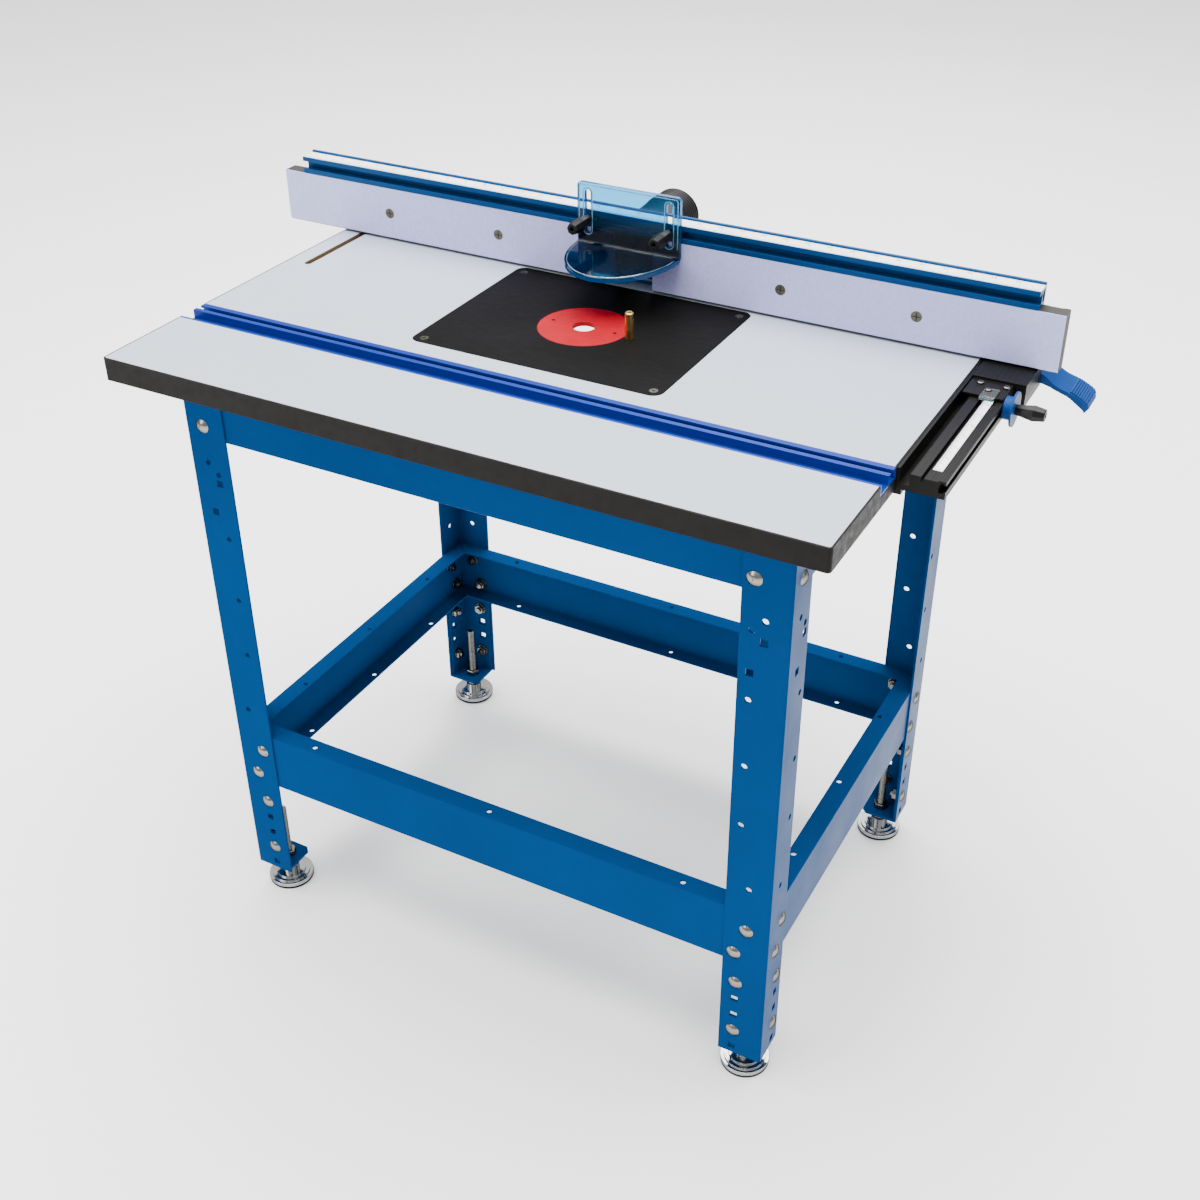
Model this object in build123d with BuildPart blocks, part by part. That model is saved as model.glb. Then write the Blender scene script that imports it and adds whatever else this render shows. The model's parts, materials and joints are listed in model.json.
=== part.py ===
"""Router table: a steel stand with levelling feet, a laminated top with a router insert, and a fence.

The fence slides on a guide rail at the right edge of the top and is locked by a cam lever there and by
a knob at its left end. It carries two sliding facings, a bit guard, a dust port and a track stop.

Frame: +X right, +Y back, +Z up, in millimetres, with Z 0 on the floor. Y 0 is the middle of the top,
and X 0 is the middle of the overall length, from the left facing's end to the tip of the cam lever.
"""

import os

from build123d import *

# ---------------------------------------------------------------- driving dimensions
table_top_z = 763.0                     # work surface above the floor
table_w, table_d, table_t = 812.8, 609.6, 25.4
laminate_t = 0.8
band_t = 2.0                            # edge band around the core
facing_end = 486.0                      # a facing's outer end from the middle of the table
lever_tip = 519.0                       # tip of the cam lever from the middle of the table
table_x = (facing_end - lever_tip) / 2  # middle of the table in the part's frame

stand_x, stand_y = 356.3, 251.9         # outer faces of the legs from the middle
leg_w, leg_d, leg_t = 52.0, 46.0, 2.5   # flange along X, flange along Y, thickness
leg_foot_z = 35.4                       # bottom of a leg
underside_z = table_top_z - table_t
rail_h, rail_t, rail_flange = 77.0, 2.0, 23.5
lower_rail_z = 177.3                    # bottom of a lower rail
upper_rail_z = underside_z - rail_h
corner_gap = 0.4                        # between rails that meet in a corner
rail_hole_r = 3.2                       # holes along the middle of each rail flange
rail_screw_xs, rail_screw_y = (-248.0, 0.0, 248.0), 238.0
rail_screw_ys, rail_screw_x = (-140.0, 0.0, 140.0), 337.0

bolt_r, bolt_head_r, bolt_head_h = 3.9, 8.4, 3.6
nut_bore_r, nut_af, nut_flange_r, nut_h = 4.0, 12.7, 8.2, 7.0
neck_side, neck_hole = 8.2, 8.6         # square neck of a carriage bolt and its hole
small_hole_r = 3.6

foot_x, foot_y = 327.8, 225.8           # levelling feet from the middle
stem_r, stem_clear = 4.75, 0.08
stem_top_z = 116.6
bracket_t, bracket_top_z = 2.5, 163.0
bracket_floor_t, bracket_floor_x, bracket_floor_y = 3.0, 46.0, 44.0
bracket_floor_chamfer, bracket_spare_hole = 6.0, 11.0
bracket_wing_x, bracket_wing_y = 46.0, 41.0
leveller_nut_af, leveller_nut_h = 17.0, 8.0
cup_low, cup_edge, cup_step, cup_top = 4.0, 9.0, 13.0, 22.0
cup_r, cup_step_r, cup_hub_r = 28.3, 19.0, 11.0
socket_z, collar_low, collar_high = 12.0, 22.6, 29.0

plate_w, plate_d, plate_t, plate_corner = 298.5, 235.0, 9.5, 12.0
plate_gap = 0.5                         # around the plate in its opening
plate_screw_x, plate_screw_y = 137.5, 104.8
ring_r, ring_t, ring_bore = 51.0, 5.0, 12.4
ring_seat_gap = 0.2
spanner_hole_x = 38.0
pin_x, pin_y, pin_r, pin_h = 57.8, -4.7, 4.75, 30.0
leveler_inner, leveler_size, leveler_t = (128.0, 95.0), 44.0, 3.0
leveler_screws = ((161.0, 112.0), (145.0, 130.0))
set_screws = ((132.0, 112.0), (144.0, 99.0))

track_front, track_back, track_h = -184.8, -142.9, 12.5
mitre_w, mitre_h = 19.05, 9.5
slot_gap, slot_cavity = 7.0, 14.0       # T-slot in the mitre track
clamp_x, clamp_slot_w = -378.5, 9.0
clamp_slot_front, clamp_slot_back = 5.0, 275.0
wood_screw_r, wood_screw_head_r, wood_hole_r = 1.8, 3.9, 1.9
track_screw_xs = (-380.0, -190.0, 0.0, 190.0, 380.0)
track_screw_y = track_front + 3.2 + mitre_w / 2

fence_face = 116.6                      # front face of the facings
facing_t, facing_gap = 19.0, 48.0       # thickness, and opening between the two facings
facing_low, facing_high = 2.0, 65.0     # above the work surface
web_t = 4.0
fence_half = 457.2
fence_low, flange_t, flange_back = 1.2, 4.0, 196.0
head_low, head_high, rib_high = 65.5, 85.0, 88.0
head_slot_low, head_slot_high = 71.0, 80.0
head_slot_mid = (head_slot_low + head_slot_high) / 2
facing_screw_xs = (179.0, 333.0)
facing_screw_z = 33.8
facing_travel = 26.0                    # each way in the web's slots
screw_r, screw_head_r = 3.1, 6.2

port_r, port_wall, port_z = 29.0, 2.5, 56.0
port_front, port_back = 190.0, 226.0
hood_w, hood_low, hood_high = 88.0, 6.0, 62.0
port_screw_x, port_screw_z = 51.0, 34.0

guard_x, guard_w, guard_t = -4.6, 128.0, 5.0
guard_back_y = 116.4
guard_top, guard_shelf_z, guard_depth = 117.5, 43.5, 91.0
guard_slot_pitch, guard_slot_w = 101.6, 7.4
guard_slot_low, guard_slot_high = 60.0, 110.0
stud_r = 3.15
guard_knob_len, stop_knob_len, knob_clear = 37.0, 30.0, 0.08

rail_in, rail_out = 406.5, 454.0        # guide rail from the middle of the table
rail_front, rail_back = -142.0, 304.8
rail_top = -4.6
rail_lip_t = 3.0                        # flange under the top
rail_screw_hole_x, rail_hole_ys = 396.0, (-110.0, -10.0, 90.0, 190.0, 285.0)
scale_deck_z = -6.0
scale_low_x, scale_high_x = 434.4, 443.6
stop_slot_z = -12.0                     # middle of the T-slot in the rail's outer side
carriage_front, carriage_back = 77.0, 215.0
carriage_out = 466.0
tongue_front = 40.0
lever_x, lever_z, lever_r = 462.5, -16.0, 5.5
lever_front, lever_back = 139.0, 181.0
lever_pin_r = 2.5
notch_in = lever_x - lever_r - 0.4      # inner side of the carriage's notch for the lever
base_bolts = ((427.0, 160.0), (448.0, 160.0))
tongue_screws = ((421.5, 67.0), (448.5, 67.0))
cursor_screw = (434.5, 50.0)
stop_y, stop_hub_r, stop_flag_r = 47.0, 12.0, 18.2
clamp_bolt_y = 168.0

# ---------------------------------------------------------------- planes and helpers


def level(z):
    """Horizontal plane at a height above the floor, centred on the table."""
    return Plane(origin=(table_x, 0, z))


def above(z):
    """Horizontal plane at a height above the work surface."""
    return level(table_top_z + z)


def across(x, base=table_top_z):
    """Plane facing +X: local axes are Y and the height above base."""
    return Plane(origin=(table_x + x, 0, base), x_dir=(0, 1, 0), z_dir=(1, 0, 0))


def along(y, base=table_top_z):
    """Plane facing -Y, the front: local axes are X and the height above base."""
    return Plane(origin=(table_x, y, base), x_dir=(1, 0, 0), z_dir=(0, -1, 0))


def spot(x, y, z, toward):
    """Small plane at a point given from the middle of the table and the floor."""
    return Plane(origin=(table_x + x, y, z), z_dir=toward)


def save(piece, name):
    """Label one finished piece and write it to its own STEP file."""
    piece.part.label = name
    export_step(piece.part, f"parts/{name}.step")


# ---------------------------------------------------------------- hole patterns of the stand
# A flange has an inner and an outer column of holes, counted from the leg's corner. Rails are bolted
# in one hole of each column; which is higher differs between the two flanges of a leg, so that the
# nuts of one flange pass those of the other inside the corner.

rail_bolt_drops = (24.0, 61.5)          # below the top of a rail
bracket_bolt_heights = (147.6, 71.4)
bracket_spare_heights = (122.2, 96.8, 46.0)
column_sets = {"wide": (26.4, 39.6, 35.5), "narrow": (23.0, 35.7, 31.2)}


def crosses(side, face):
    """True where a leg's X flange carries its upper rail bolt in the inner column."""
    return side * face < 0


def flange_columns(side, face, flange):
    """Inner, outer and bracket columns of one flange of one leg."""
    wide = flange == "x" and crosses(side, face)
    return column_sets["wide" if wide else "narrow"]


def rail_bolt_columns(side, face, flange):
    """Columns of the higher and the lower bolt of a rail in one flange."""
    inner, outer, _ = flange_columns(side, face, flange)
    if crosses(side, face) == (flange == "x"):
        return inner, outer
    return outer, inner


def rail_bolts(side, face, flange, rail_z):
    """Column and height of the two bolts that hold one end of a rail."""
    columns = rail_bolt_columns(side, face, flange)
    return [(column, rail_z + rail_h - drop) for column, drop in zip(columns, rail_bolt_drops)]


def bracket_bolts(side, face, flange):
    """Column and height of the two bolts that hold a foot bracket to one flange."""
    column = flange_columns(side, face, flange)[2]
    return [(column, height) for height in bracket_bolt_heights]


def spare_square_holes(side, face, flange):
    """Unused square holes of one flange: three for the bracket and two under the upper rail."""
    inner, outer, column = flange_columns(side, face, flange)
    higher, lower = rail_bolt_columns(side, face, flange)
    spare = [(column, height) for height in bracket_spare_heights]
    return spare + [(higher, 607.7), (lower, 569.2)]


def spare_round_holes(side, face, flange):
    """Plain round holes down one flange."""
    inner, outer, _ = flange_columns(side, face, flange)
    heights = (619.0, 536.3, 453.2, 375.9)
    return [(outer, height) for height in heights] + [(inner, 632.0), (inner, 290.7)]


def flange_point(side, face, flange, column, height):
    """Local coordinates of a hole on the outer plane of a flange."""
    if flange == "x":
        return side * (stand_x - column), height
    return face * (stand_y - column), height


corners = {"front_left": (-1, -1), "front_right": (1, -1), "rear_left": (-1, 1), "rear_right": (1, 1)}

# ---------------------------------------------------------------- stand


def make_leg(name, side, face):
    """Folded steel angle with its corner outwards and two rows of holes in each flange."""
    with BuildPart() as leg:
        with BuildSketch(level(leg_foot_z)):
            with BuildLine():
                Polyline(
                    (side * stand_x, face * stand_y),
                    (side * (stand_x - leg_w), face * stand_y),
                    (side * (stand_x - leg_w), face * (stand_y - leg_t)),
                    (side * (stand_x - leg_t), face * (stand_y - leg_t)),
                    (side * (stand_x - leg_t), face * (stand_y - leg_d)),
                    (side * stand_x, face * (stand_y - leg_d)),
                    close=True,
                )
            make_face()
        extrude(amount=underside_z - leg_foot_z)
        corner = (table_x + side * stand_x, face * stand_y, underside_z / 2)
        fold = leg.edges().filter_by(Axis.Z).sort_by_distance(corner)[0]
        fillet(fold, radius=leg_t + 0.5)
        for flange, plane in (("x", along(face * stand_y, 0)), ("y", across(side * stand_x, 0))):
            squares = spare_square_holes(side, face, flange) + bracket_bolts(side, face, flange)
            for rail_z in (lower_rail_z, upper_rail_z):
                squares += rail_bolts(side, face, flange, rail_z)
            rounds = spare_round_holes(side, face, flange)
            with BuildSketch(plane):
                with Locations(*[flange_point(side, face, flange, *hole) for hole in squares]):
                    Rectangle(neck_hole, neck_hole)
                with Locations(*[flange_point(side, face, flange, *hole) for hole in rounds]):
                    Circle(small_hole_r)
            extrude(amount=2 * leg_t, both=True, mode=Mode.SUBTRACT)
    save(leg, name)


def make_long_rail(name, face, rail_z):
    """Front or rear rail: a channel between the legs, its flanges pointing in and mitred at the ends."""
    half = stand_x - leg_t - corner_gap
    web_y = stand_y - leg_t
    with BuildPart() as rail:
        with BuildSketch(level(rail_z)):
            with Locations((0, face * (web_y - rail_t / 2))):
                Rectangle(2 * half, rail_t)
        extrude(amount=rail_h)
        for height in (rail_z, rail_z + rail_h - rail_t):
            with BuildSketch(level(height)):
                with BuildLine():
                    Polyline(
                        (-half, face * web_y),
                        (half, face * web_y),
                        (half, face * (web_y - rail_t)),
                        (half - rail_t, face * (web_y - rail_t)),
                        (half - rail_flange, face * (web_y - rail_flange)),
                        (rail_flange - half, face * (web_y - rail_flange)),
                        (rail_t - half, face * (web_y - rail_t)),
                        (-half, face * (web_y - rail_t)),
                        close=True,
                    )
                make_face()
            extrude(amount=rail_t)
        bend = rail.edges().filter_by(Axis.X).sort_by(Axis.Y)
        fillet(bend[:2] if face < 0 else bend[-2:], radius=0.8 * rail_t)
        with BuildSketch(along(face * web_y, 0)):
            for side in (-1, 1):
                for hole in rail_bolts(side, face, "x", rail_z):
                    with Locations(flange_point(side, face, "x", *hole)):
                        Circle(bolt_r + 0.4)
        extrude(amount=2 * rail_t, both=True, mode=Mode.SUBTRACT)
        with BuildSketch(level(rail_z)):
            with Locations(*[(x, face * rail_screw_y) for x in rail_screw_xs]):
                Circle(rail_hole_r)
        extrude(amount=rail_h, mode=Mode.SUBTRACT)
    save(rail, name)


def make_short_rail(name, side, rail_z):
    """Left or right rail: the same channel, butted between the front and the rear rail."""
    half = stand_y - leg_t - rail_t - corner_gap
    web_x = stand_x - leg_t
    with BuildPart() as rail:
        with BuildSketch(level(rail_z)):
            with Locations((side * (web_x - rail_t / 2), 0)):
                Rectangle(rail_t, 2 * half)
        extrude(amount=rail_h)
        for height in (rail_z, rail_z + rail_h - rail_t):
            with BuildSketch(level(height)):
                with BuildLine():
                    Polyline(
                        (side * web_x, -half),
                        (side * web_x, half),
                        (side * (web_x - rail_t), half),
                        (side * (web_x - rail_flange), half - rail_flange + rail_t),
                        (side * (web_x - rail_flange), rail_flange - rail_t - half),
                        (side * (web_x - rail_t), -half),
                        close=True,
                    )
                make_face()
            extrude(amount=rail_t)
        bend = rail.edges().filter_by(Axis.Y).sort_by(Axis.X)
        fillet(bend[:2] if side < 0 else bend[-2:], radius=0.8 * rail_t)
        with BuildSketch(across(side * web_x, 0)):
            for face in (-1, 1):
                for hole in rail_bolts(side, face, "y", rail_z):
                    with Locations(flange_point(side, face, "y", *hole)):
                        Circle(bolt_r + 0.4)
        extrude(amount=2 * rail_t, both=True, mode=Mode.SUBTRACT)
        with BuildSketch(level(rail_z)):
            with Locations(*[(side * rail_screw_x, y) for y in rail_screw_ys]):
                Circle(rail_hole_r)
        extrude(amount=rail_h, mode=Mode.SUBTRACT)
    save(rail, name)


def make_foot_brackets():
    """Inner angles with a floor plate that hold the levelling feet, each bolted inside a leg."""
    in_x, in_y = stand_x - leg_t, stand_y - leg_t
    with BuildPart() as brackets:
        for side, face in corners.values():
            with BuildSketch(level(leg_foot_z)):
                inner_x, inner_y = in_x - bracket_floor_x, in_y - bracket_floor_y
                with BuildLine():
                    Polyline(
                        (side * in_x, face * in_y),
                        (side * inner_x, face * in_y),
                        (side * inner_x, face * (inner_y + bracket_floor_chamfer)),
                        (side * (inner_x + bracket_floor_chamfer), face * inner_y),
                        (side * in_x, face * inner_y),
                        close=True,
                    )
                make_face()
                with Locations((side * foot_x, face * foot_y)):
                    Circle(stem_r + 0.4, mode=Mode.SUBTRACT)
            extrude(amount=bracket_floor_t)
            with BuildSketch(level(leg_foot_z)):
                with BuildLine():
                    Polyline(
                        (side * in_x, face * in_y),
                        (side * (in_x - bracket_wing_x), face * in_y),
                        (side * (in_x - bracket_wing_x), face * (in_y - bracket_t)),
                        (side * (in_x - bracket_t), face * (in_y - bracket_t)),
                        (side * (in_x - bracket_t), face * (in_y - bracket_wing_y)),
                        (side * in_x, face * (in_y - bracket_wing_y)),
                        close=True,
                    )
                make_face()
            extrude(amount=bracket_top_z - leg_foot_z)
            for flange, plane in (("x", along(face * in_y, 0)), ("y", across(side * in_x, 0))):
                column = flange_columns(side, face, flange)[2]
                with BuildSketch(plane):
                    for height in bracket_bolt_heights:
                        with Locations(flange_point(side, face, flange, column, height)):
                            Circle(bolt_r + 0.4)
                    for height in bracket_spare_heights[:2]:
                        with Locations(flange_point(side, face, flange, column, height)):
                            Rectangle(bracket_spare_hole, bracket_spare_hole)
                extrude(amount=2 * bracket_t, both=True, mode=Mode.SUBTRACT)
    save(brackets, "foot_brackets")


def make_levelling_foot(corner, side, face):
    """Threaded stem with a wrench collar, the stepped cup that it stands in, and the rubber pad below."""
    centre = (side * foot_x, face * foot_y)
    with BuildPart() as stem:
        with BuildSketch(level(socket_z)):
            with Locations(centre):
                Circle(stem_r)
        extrude(amount=stem_top_z - socket_z)
        chamfer(stem.faces().sort_by(Axis.Z)[-1].edges(), length=0.8)
        with BuildSketch(level(collar_low)):
            with Locations(centre):
                RegularPolygon(radius=7.0, side_count=6, major_radius=False)
        extrude(amount=collar_high - collar_low)
    save(stem, f"levelling_stem_{corner}")
    with BuildPart() as cup:
        for low, high, radius in (
            (cup_low, cup_edge, cup_r),
            (cup_edge, cup_edge + 2, cup_r - 4),
            (cup_edge + 2, cup_step, cup_step_r),
            (cup_step, cup_top, cup_hub_r),
        ):
            with BuildSketch(level(low)):
                with Locations(centre):
                    Circle(radius)
            extrude(amount=high - low)
        with BuildSketch(level(socket_z)):
            with Locations(centre):
                Circle(stem_r + stem_clear)
        extrude(amount=cup_top - socket_z, mode=Mode.SUBTRACT)
    save(cup, f"foot_cup_{corner}")
    with BuildPart() as pad:
        with BuildSketch(level(0)):
            with Locations(centre):
                Circle(cup_r - 0.2)
        extrude(amount=cup_low)
        chamfer(pad.edges().group_by(Axis.Z)[0], length=0.7)
    save(pad, f"foot_pad_{corner}")


def stand_bolt_planes():
    """Outer face and stack thickness of every carriage bolt of the stand."""
    planes = []
    for side, face in corners.values():
        for flange in ("x", "y"):
            stacks = [(hole, leg_t + bracket_t) for hole in bracket_bolts(side, face, flange)]
            for rail_z in (lower_rail_z, upper_rail_z):
                stacks += [(hole, leg_t + rail_t) for hole in rail_bolts(side, face, flange, rail_z)]
            for hole, stack in stacks:
                local, height = flange_point(side, face, flange, *hole)
                if flange == "x":
                    plane = spot(local, face * stand_y, height, (0, face, 0))
                else:
                    plane = spot(side * stand_x, local, height, (side, 0, 0))
                planes.append((plane, stack))
    return planes


def make_stand_fasteners():
    """Carriage bolts with square necks, their flanged nuts, and the nuts of the levelling feet."""
    dome_r = (bolt_head_r**2 + bolt_head_h**2) / (2 * bolt_head_h)
    with BuildPart() as bolt:
        with BuildSketch(Plane.XZ):
            with BuildLine():
                rim = (bolt_head_r, 0)
                crown = (0, bolt_head_h)
                RadiusArc(rim, crown, -dome_r)
                Line(crown, (0, 0))
                Line((0, 0), rim)
            make_face()
        revolve(axis=Axis.Z)
        with BuildSketch(Plane.XY):
            Rectangle(neck_side, neck_side)
        extrude(amount=-leg_t)
        with BuildSketch(Plane.XY):
            Circle(bolt_r)
        extrude(amount=-15.0)
    with BuildPart() as nut:
        with BuildSketch(Plane.XY):
            Circle(nut_flange_r)
        extrude(amount=-1.6)
        with BuildSketch(Plane.XY):
            RegularPolygon(radius=nut_af / 2, side_count=6, major_radius=False)
        extrude(amount=-nut_h)
        with BuildSketch(Plane.XY):
            Circle(nut_bore_r)
        extrude(amount=-nut_h, mode=Mode.SUBTRACT)
    with BuildPart() as leveller_nut:
        with BuildSketch(Plane.XY):
            RegularPolygon(radius=leveller_nut_af / 2, side_count=6, major_radius=False)
            Circle(stem_r + stem_clear, mode=Mode.SUBTRACT)
        extrude(amount=leveller_nut_h)
        chamfer(leveller_nut.faces().sort_by(Axis.Z)[-1].outer_wire().edges(), length=0.7)
    with BuildPart() as bolts:
        for plane, _ in stand_bolt_planes():
            with Locations(plane):
                add(bolt.part)
    save(bolts, "carriage_bolts")
    with BuildPart() as nuts:
        for plane, stack in stand_bolt_planes():
            with Locations(plane.offset(-stack)):
                add(nut.part)
        for side, face in corners.values():
            with Locations(spot(side * foot_x, face * foot_y, leg_foot_z + bracket_floor_t, (0, 0, 1))):
                add(leveller_nut.part)
    save(nuts, "stand_nuts")


# ---------------------------------------------------------------- table top


def table_screw_points():
    """Points where screws come up through the upper rails into the core."""
    points = [(x, face * rail_screw_y) for face in (-1, 1) for x in rail_screw_xs]
    return points + [(side * rail_screw_x, y) for side in (-1, 1) for y in rail_screw_ys]


def leveler_points(points):
    """Points of one corner repeated in all four corners of the opening."""
    return [(sx * x, sy * y) for sx in (-1, 1) for sy in (-1, 1) for x, y in points]


def opening_outline():
    """Outline of the insert opening and of the clamp slot, on the underside."""
    with BuildSketch(above(-table_t)) as outline:
        RectangleRounded(plate_w + 2 * plate_gap, plate_d + 2 * plate_gap, plate_corner + plate_gap)
        with Locations((clamp_x, (clamp_slot_front + clamp_slot_back) / 2)):
            SlotOverall(clamp_slot_back - clamp_slot_front, clamp_slot_w, rotation=90)
    return outline.sketch


def make_table_core():
    """Fibreboard core with the insert opening, the groove of the mitre track and the clamp slot."""
    core_low, core_high = laminate_t - table_t, -laminate_t
    openings = opening_outline()
    with BuildPart() as core:
        with BuildSketch(above(core_low)):
            RectangleRounded(table_w - 2 * band_t, table_d - 2 * band_t, 2.0)
        extrude(amount=core_high - core_low)
        extrude(openings, amount=table_t, mode=Mode.SUBTRACT)
        with BuildSketch(above(-track_h)):
            with Locations((0, (track_front + track_back) / 2)):
                Rectangle(table_w, track_back - track_front + 0.4)
        extrude(amount=track_h, mode=Mode.SUBTRACT)
        with BuildSketch(above(-table_t)):
            with Locations(*table_screw_points(), *leveler_points(leveler_screws)):
                Circle(wood_hole_r)
            with Locations(*[(rail_screw_hole_x, y) for y in rail_hole_ys]):
                Circle(wood_hole_r)
        extrude(amount=16.0, mode=Mode.SUBTRACT)
        with BuildSketch(above(-track_h)):
            with Locations(*[(x, track_screw_y) for x in track_screw_xs]):
                Circle(wood_hole_r)
        extrude(amount=-8.0, mode=Mode.SUBTRACT)
    save(core, "table_core")


def make_table_laminate():
    """Laminate skins of the top: the face in two sheets beside the track, and the backer below."""
    openings = opening_outline()
    with BuildPart() as laminate:
        for low in (-laminate_t, -table_t):
            with BuildSketch(above(low)):
                RectangleRounded(table_w - 2 * band_t, table_d - 2 * band_t, 2.0)
            extrude(amount=laminate_t)
        extrude(openings, amount=table_t, mode=Mode.SUBTRACT)
        with BuildSketch(above(-track_h)):
            with Locations((0, (track_front + track_back) / 2)):
                Rectangle(table_w, track_back - track_front + 0.4)
        extrude(amount=track_h, mode=Mode.SUBTRACT)
        with BuildSketch(above(-table_t)):
            with Locations(*table_screw_points(), *leveler_points(leveler_screws)):
                Circle(wood_hole_r)
            with Locations(*[(rail_screw_hole_x, y) for y in rail_hole_ys]):
                Circle(wood_hole_r)
        extrude(amount=laminate_t, mode=Mode.SUBTRACT)
    save(laminate, "table_laminate")


def make_edge_band():
    """Plastic edge band around the top, notched where the mitre track runs out."""
    with BuildPart() as band:
        with BuildSketch(above(-table_t)):
            RectangleRounded(table_w, table_d, 4.0)
            RectangleRounded(table_w - 2 * band_t, table_d - 2 * band_t, 2.0, mode=Mode.SUBTRACT)
        extrude(amount=table_t - 0.2)
        with BuildSketch(above(-track_h)):
            with Locations((0, (track_front + track_back) / 2)):
                Rectangle(2 * table_w, track_back - track_front + 0.4)
        extrude(amount=table_t, mode=Mode.SUBTRACT)
    save(band, "edge_band")


def make_mitre_track():
    """Aluminium double track: a mitre slot in front and a T-slot behind it."""
    floor = -mitre_h
    slot_front = track_front + 3.2
    slot_back = slot_front + mitre_w
    gap_mid = track_back - 10.5
    with BuildPart() as track:
        with BuildSketch(across(-table_w / 2 + 0.4)):
            with BuildLine():
                Polyline(
                    (track_front, -track_h),
                    (track_front, 0),
                    (slot_front, 0),
                    (slot_front, floor),
                    (slot_back, floor),
                    (slot_back, 0),
                    (gap_mid - slot_gap / 2, 0),
                    (gap_mid - slot_gap / 2, -2.6),
                    (gap_mid - slot_cavity / 2, -2.6),
                    (gap_mid - slot_cavity / 2, floor),
                    (gap_mid + slot_cavity / 2, floor),
                    (gap_mid + slot_cavity / 2, -2.6),
                    (gap_mid + slot_gap / 2, -2.6),
                    (gap_mid + slot_gap / 2, 0),
                    (track_back, 0),
                    (track_back, -track_h),
                    close=True,
                )
            make_face()
        extrude(amount=table_w - 0.8)
        with Locations(*[spot(x, track_screw_y, table_top_z + floor, (0, 0, 1)) for x in track_screw_xs]):
            CounterSinkHole(radius=wood_screw_r + 0.1, counter_sink_radius=wood_screw_head_r + 0.1)
    save(track, "mitre_track")


def make_wood_screws():
    """Countersunk screws of the mitre track, and pan-head screws that come up from below."""
    with BuildPart() as flat_screw:
        with BuildSketch(Plane.XZ):
            with BuildLine():
                Polyline(
                    (0, -0.1),
                    (wood_screw_head_r, -0.1),
                    (wood_screw_r - 0.1, 2.0 - wood_screw_head_r - 0.2),
                    (wood_screw_r - 0.1, -10.0),
                    (0, -10.8),
                    close=True,
                )
            make_face()
        revolve(axis=Axis.Z)
    with BuildPart() as pan_screw:
        Cylinder(wood_screw_head_r, 2.4, align=(Align.CENTER, Align.CENTER, Align.MAX))
        fillet(pan_screw.edges().sort_by(Axis.Z)[0], radius=1.4)
        Cylinder(wood_screw_r, 17.0, align=(Align.CENTER, Align.CENTER, Align.MIN))
    heads = [(x, y, upper_rail_z + rail_h - rail_t) for x, y in table_screw_points()]
    heads += [(x, y, underside_z - leveler_t) for x, y in leveler_points(leveler_screws)]
    heads += [(rail_screw_hole_x, y, underside_z - rail_lip_t) for y in rail_hole_ys]
    with BuildPart() as screws:
        for x in track_screw_xs:
            with Locations(spot(x, track_screw_y, table_top_z - mitre_h, (0, 0, 1))):
                add(flat_screw.part)
        for x, y, z in heads:
            with Locations(spot(x, y, z, (0, 0, 1))):
                add(pan_screw.part)
    save(screws, "wood_screws")


# ---------------------------------------------------------------- router insert


def make_insert_plate():
    """Router plate with a stepped seat for the reducer ring and holes for screws and starter pin."""
    with BuildPart() as plate:
        with BuildSketch(above(-plate_t)):
            RectangleRounded(plate_w, plate_d, plate_corner)
        extrude(amount=plate_t)
        with BuildSketch(above(-ring_t - 0.1)):
            Circle(ring_r + ring_seat_gap)
        extrude(amount=plate_t, mode=Mode.SUBTRACT)
        with BuildSketch(above(-plate_t)):
            Circle(ring_r - 5.0)
            with Locations((pin_x, pin_y)):
                Circle(3.3)
        extrude(amount=plate_t, mode=Mode.SUBTRACT)
        screws = leveler_points([(plate_screw_x, plate_screw_y)])
        with Locations(*[spot(x, y, table_top_z, (0, 0, 1)) for x, y in screws]):
            CounterSinkHole(radius=2.6, counter_sink_radius=5.1)
    save(plate, "insert_plate")


def make_plate_screws():
    """Countersunk screws at the corners of the router plate, and the set screws that it rests on."""
    with BuildPart() as screw:
        with BuildSketch(Plane.XZ):
            with BuildLine():
                Polyline((0, -0.2), (4.8, -0.2), (2.4, -2.8), (2.4, -26.0), (0, -26.0), close=True)
            make_face()
        revolve(axis=Axis.Z)
        with BuildSketch(Plane.XY.offset(-0.2)):
            RegularPolygon(radius=1.9, side_count=6)
        extrude(amount=-1.4, mode=Mode.SUBTRACT)
    with BuildPart() as screws:
        for x, y in leveler_points([(plate_screw_x, plate_screw_y)]):
            with Locations(spot(x, y, table_top_z, (0, 0, 1))):
                add(screw.part)
        with BuildSketch(above(-plate_t)):
            with Locations(*leveler_points(set_screws)):
                Circle(2.5)
        extrude(amount=-(table_t - plate_t + leveler_t + 3.0))
    save(screws, "insert_plate_screws")


def make_plate_levelers():
    """Corner brackets under the opening, each with a threaded boss and holes for two set screws."""
    inner_x, inner_y = leveler_inner
    with BuildPart() as levelers:
        for sx in (-1, 1):
            for sy in (-1, 1):
                with BuildSketch(level(underside_z - leveler_t)):
                    with Locations((sx * (inner_x + leveler_size / 2), sy * (inner_y + leveler_size / 2))):
                        RectangleRounded(leveler_size, leveler_size, 3.0)
                    with Locations(*[(sx * x, sy * y) for x, y in leveler_screws]):
                        Circle(wood_hole_r, mode=Mode.SUBTRACT)
                extrude(amount=leveler_t)
        with BuildSketch(level(underside_z)):
            with Locations(*leveler_points([(plate_screw_x, plate_screw_y)])):
                Circle(6.0)
        extrude(amount=table_t - plate_t - 1.0)
        with BuildSketch(level(underside_z - leveler_t)):
            with Locations(*leveler_points([(plate_screw_x, plate_screw_y)])):
                Circle(2.5)
            with Locations(*leveler_points(set_screws)):
                Circle(2.6)
        extrude(amount=table_t, mode=Mode.SUBTRACT)
    save(levelers, "plate_levelers")


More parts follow.
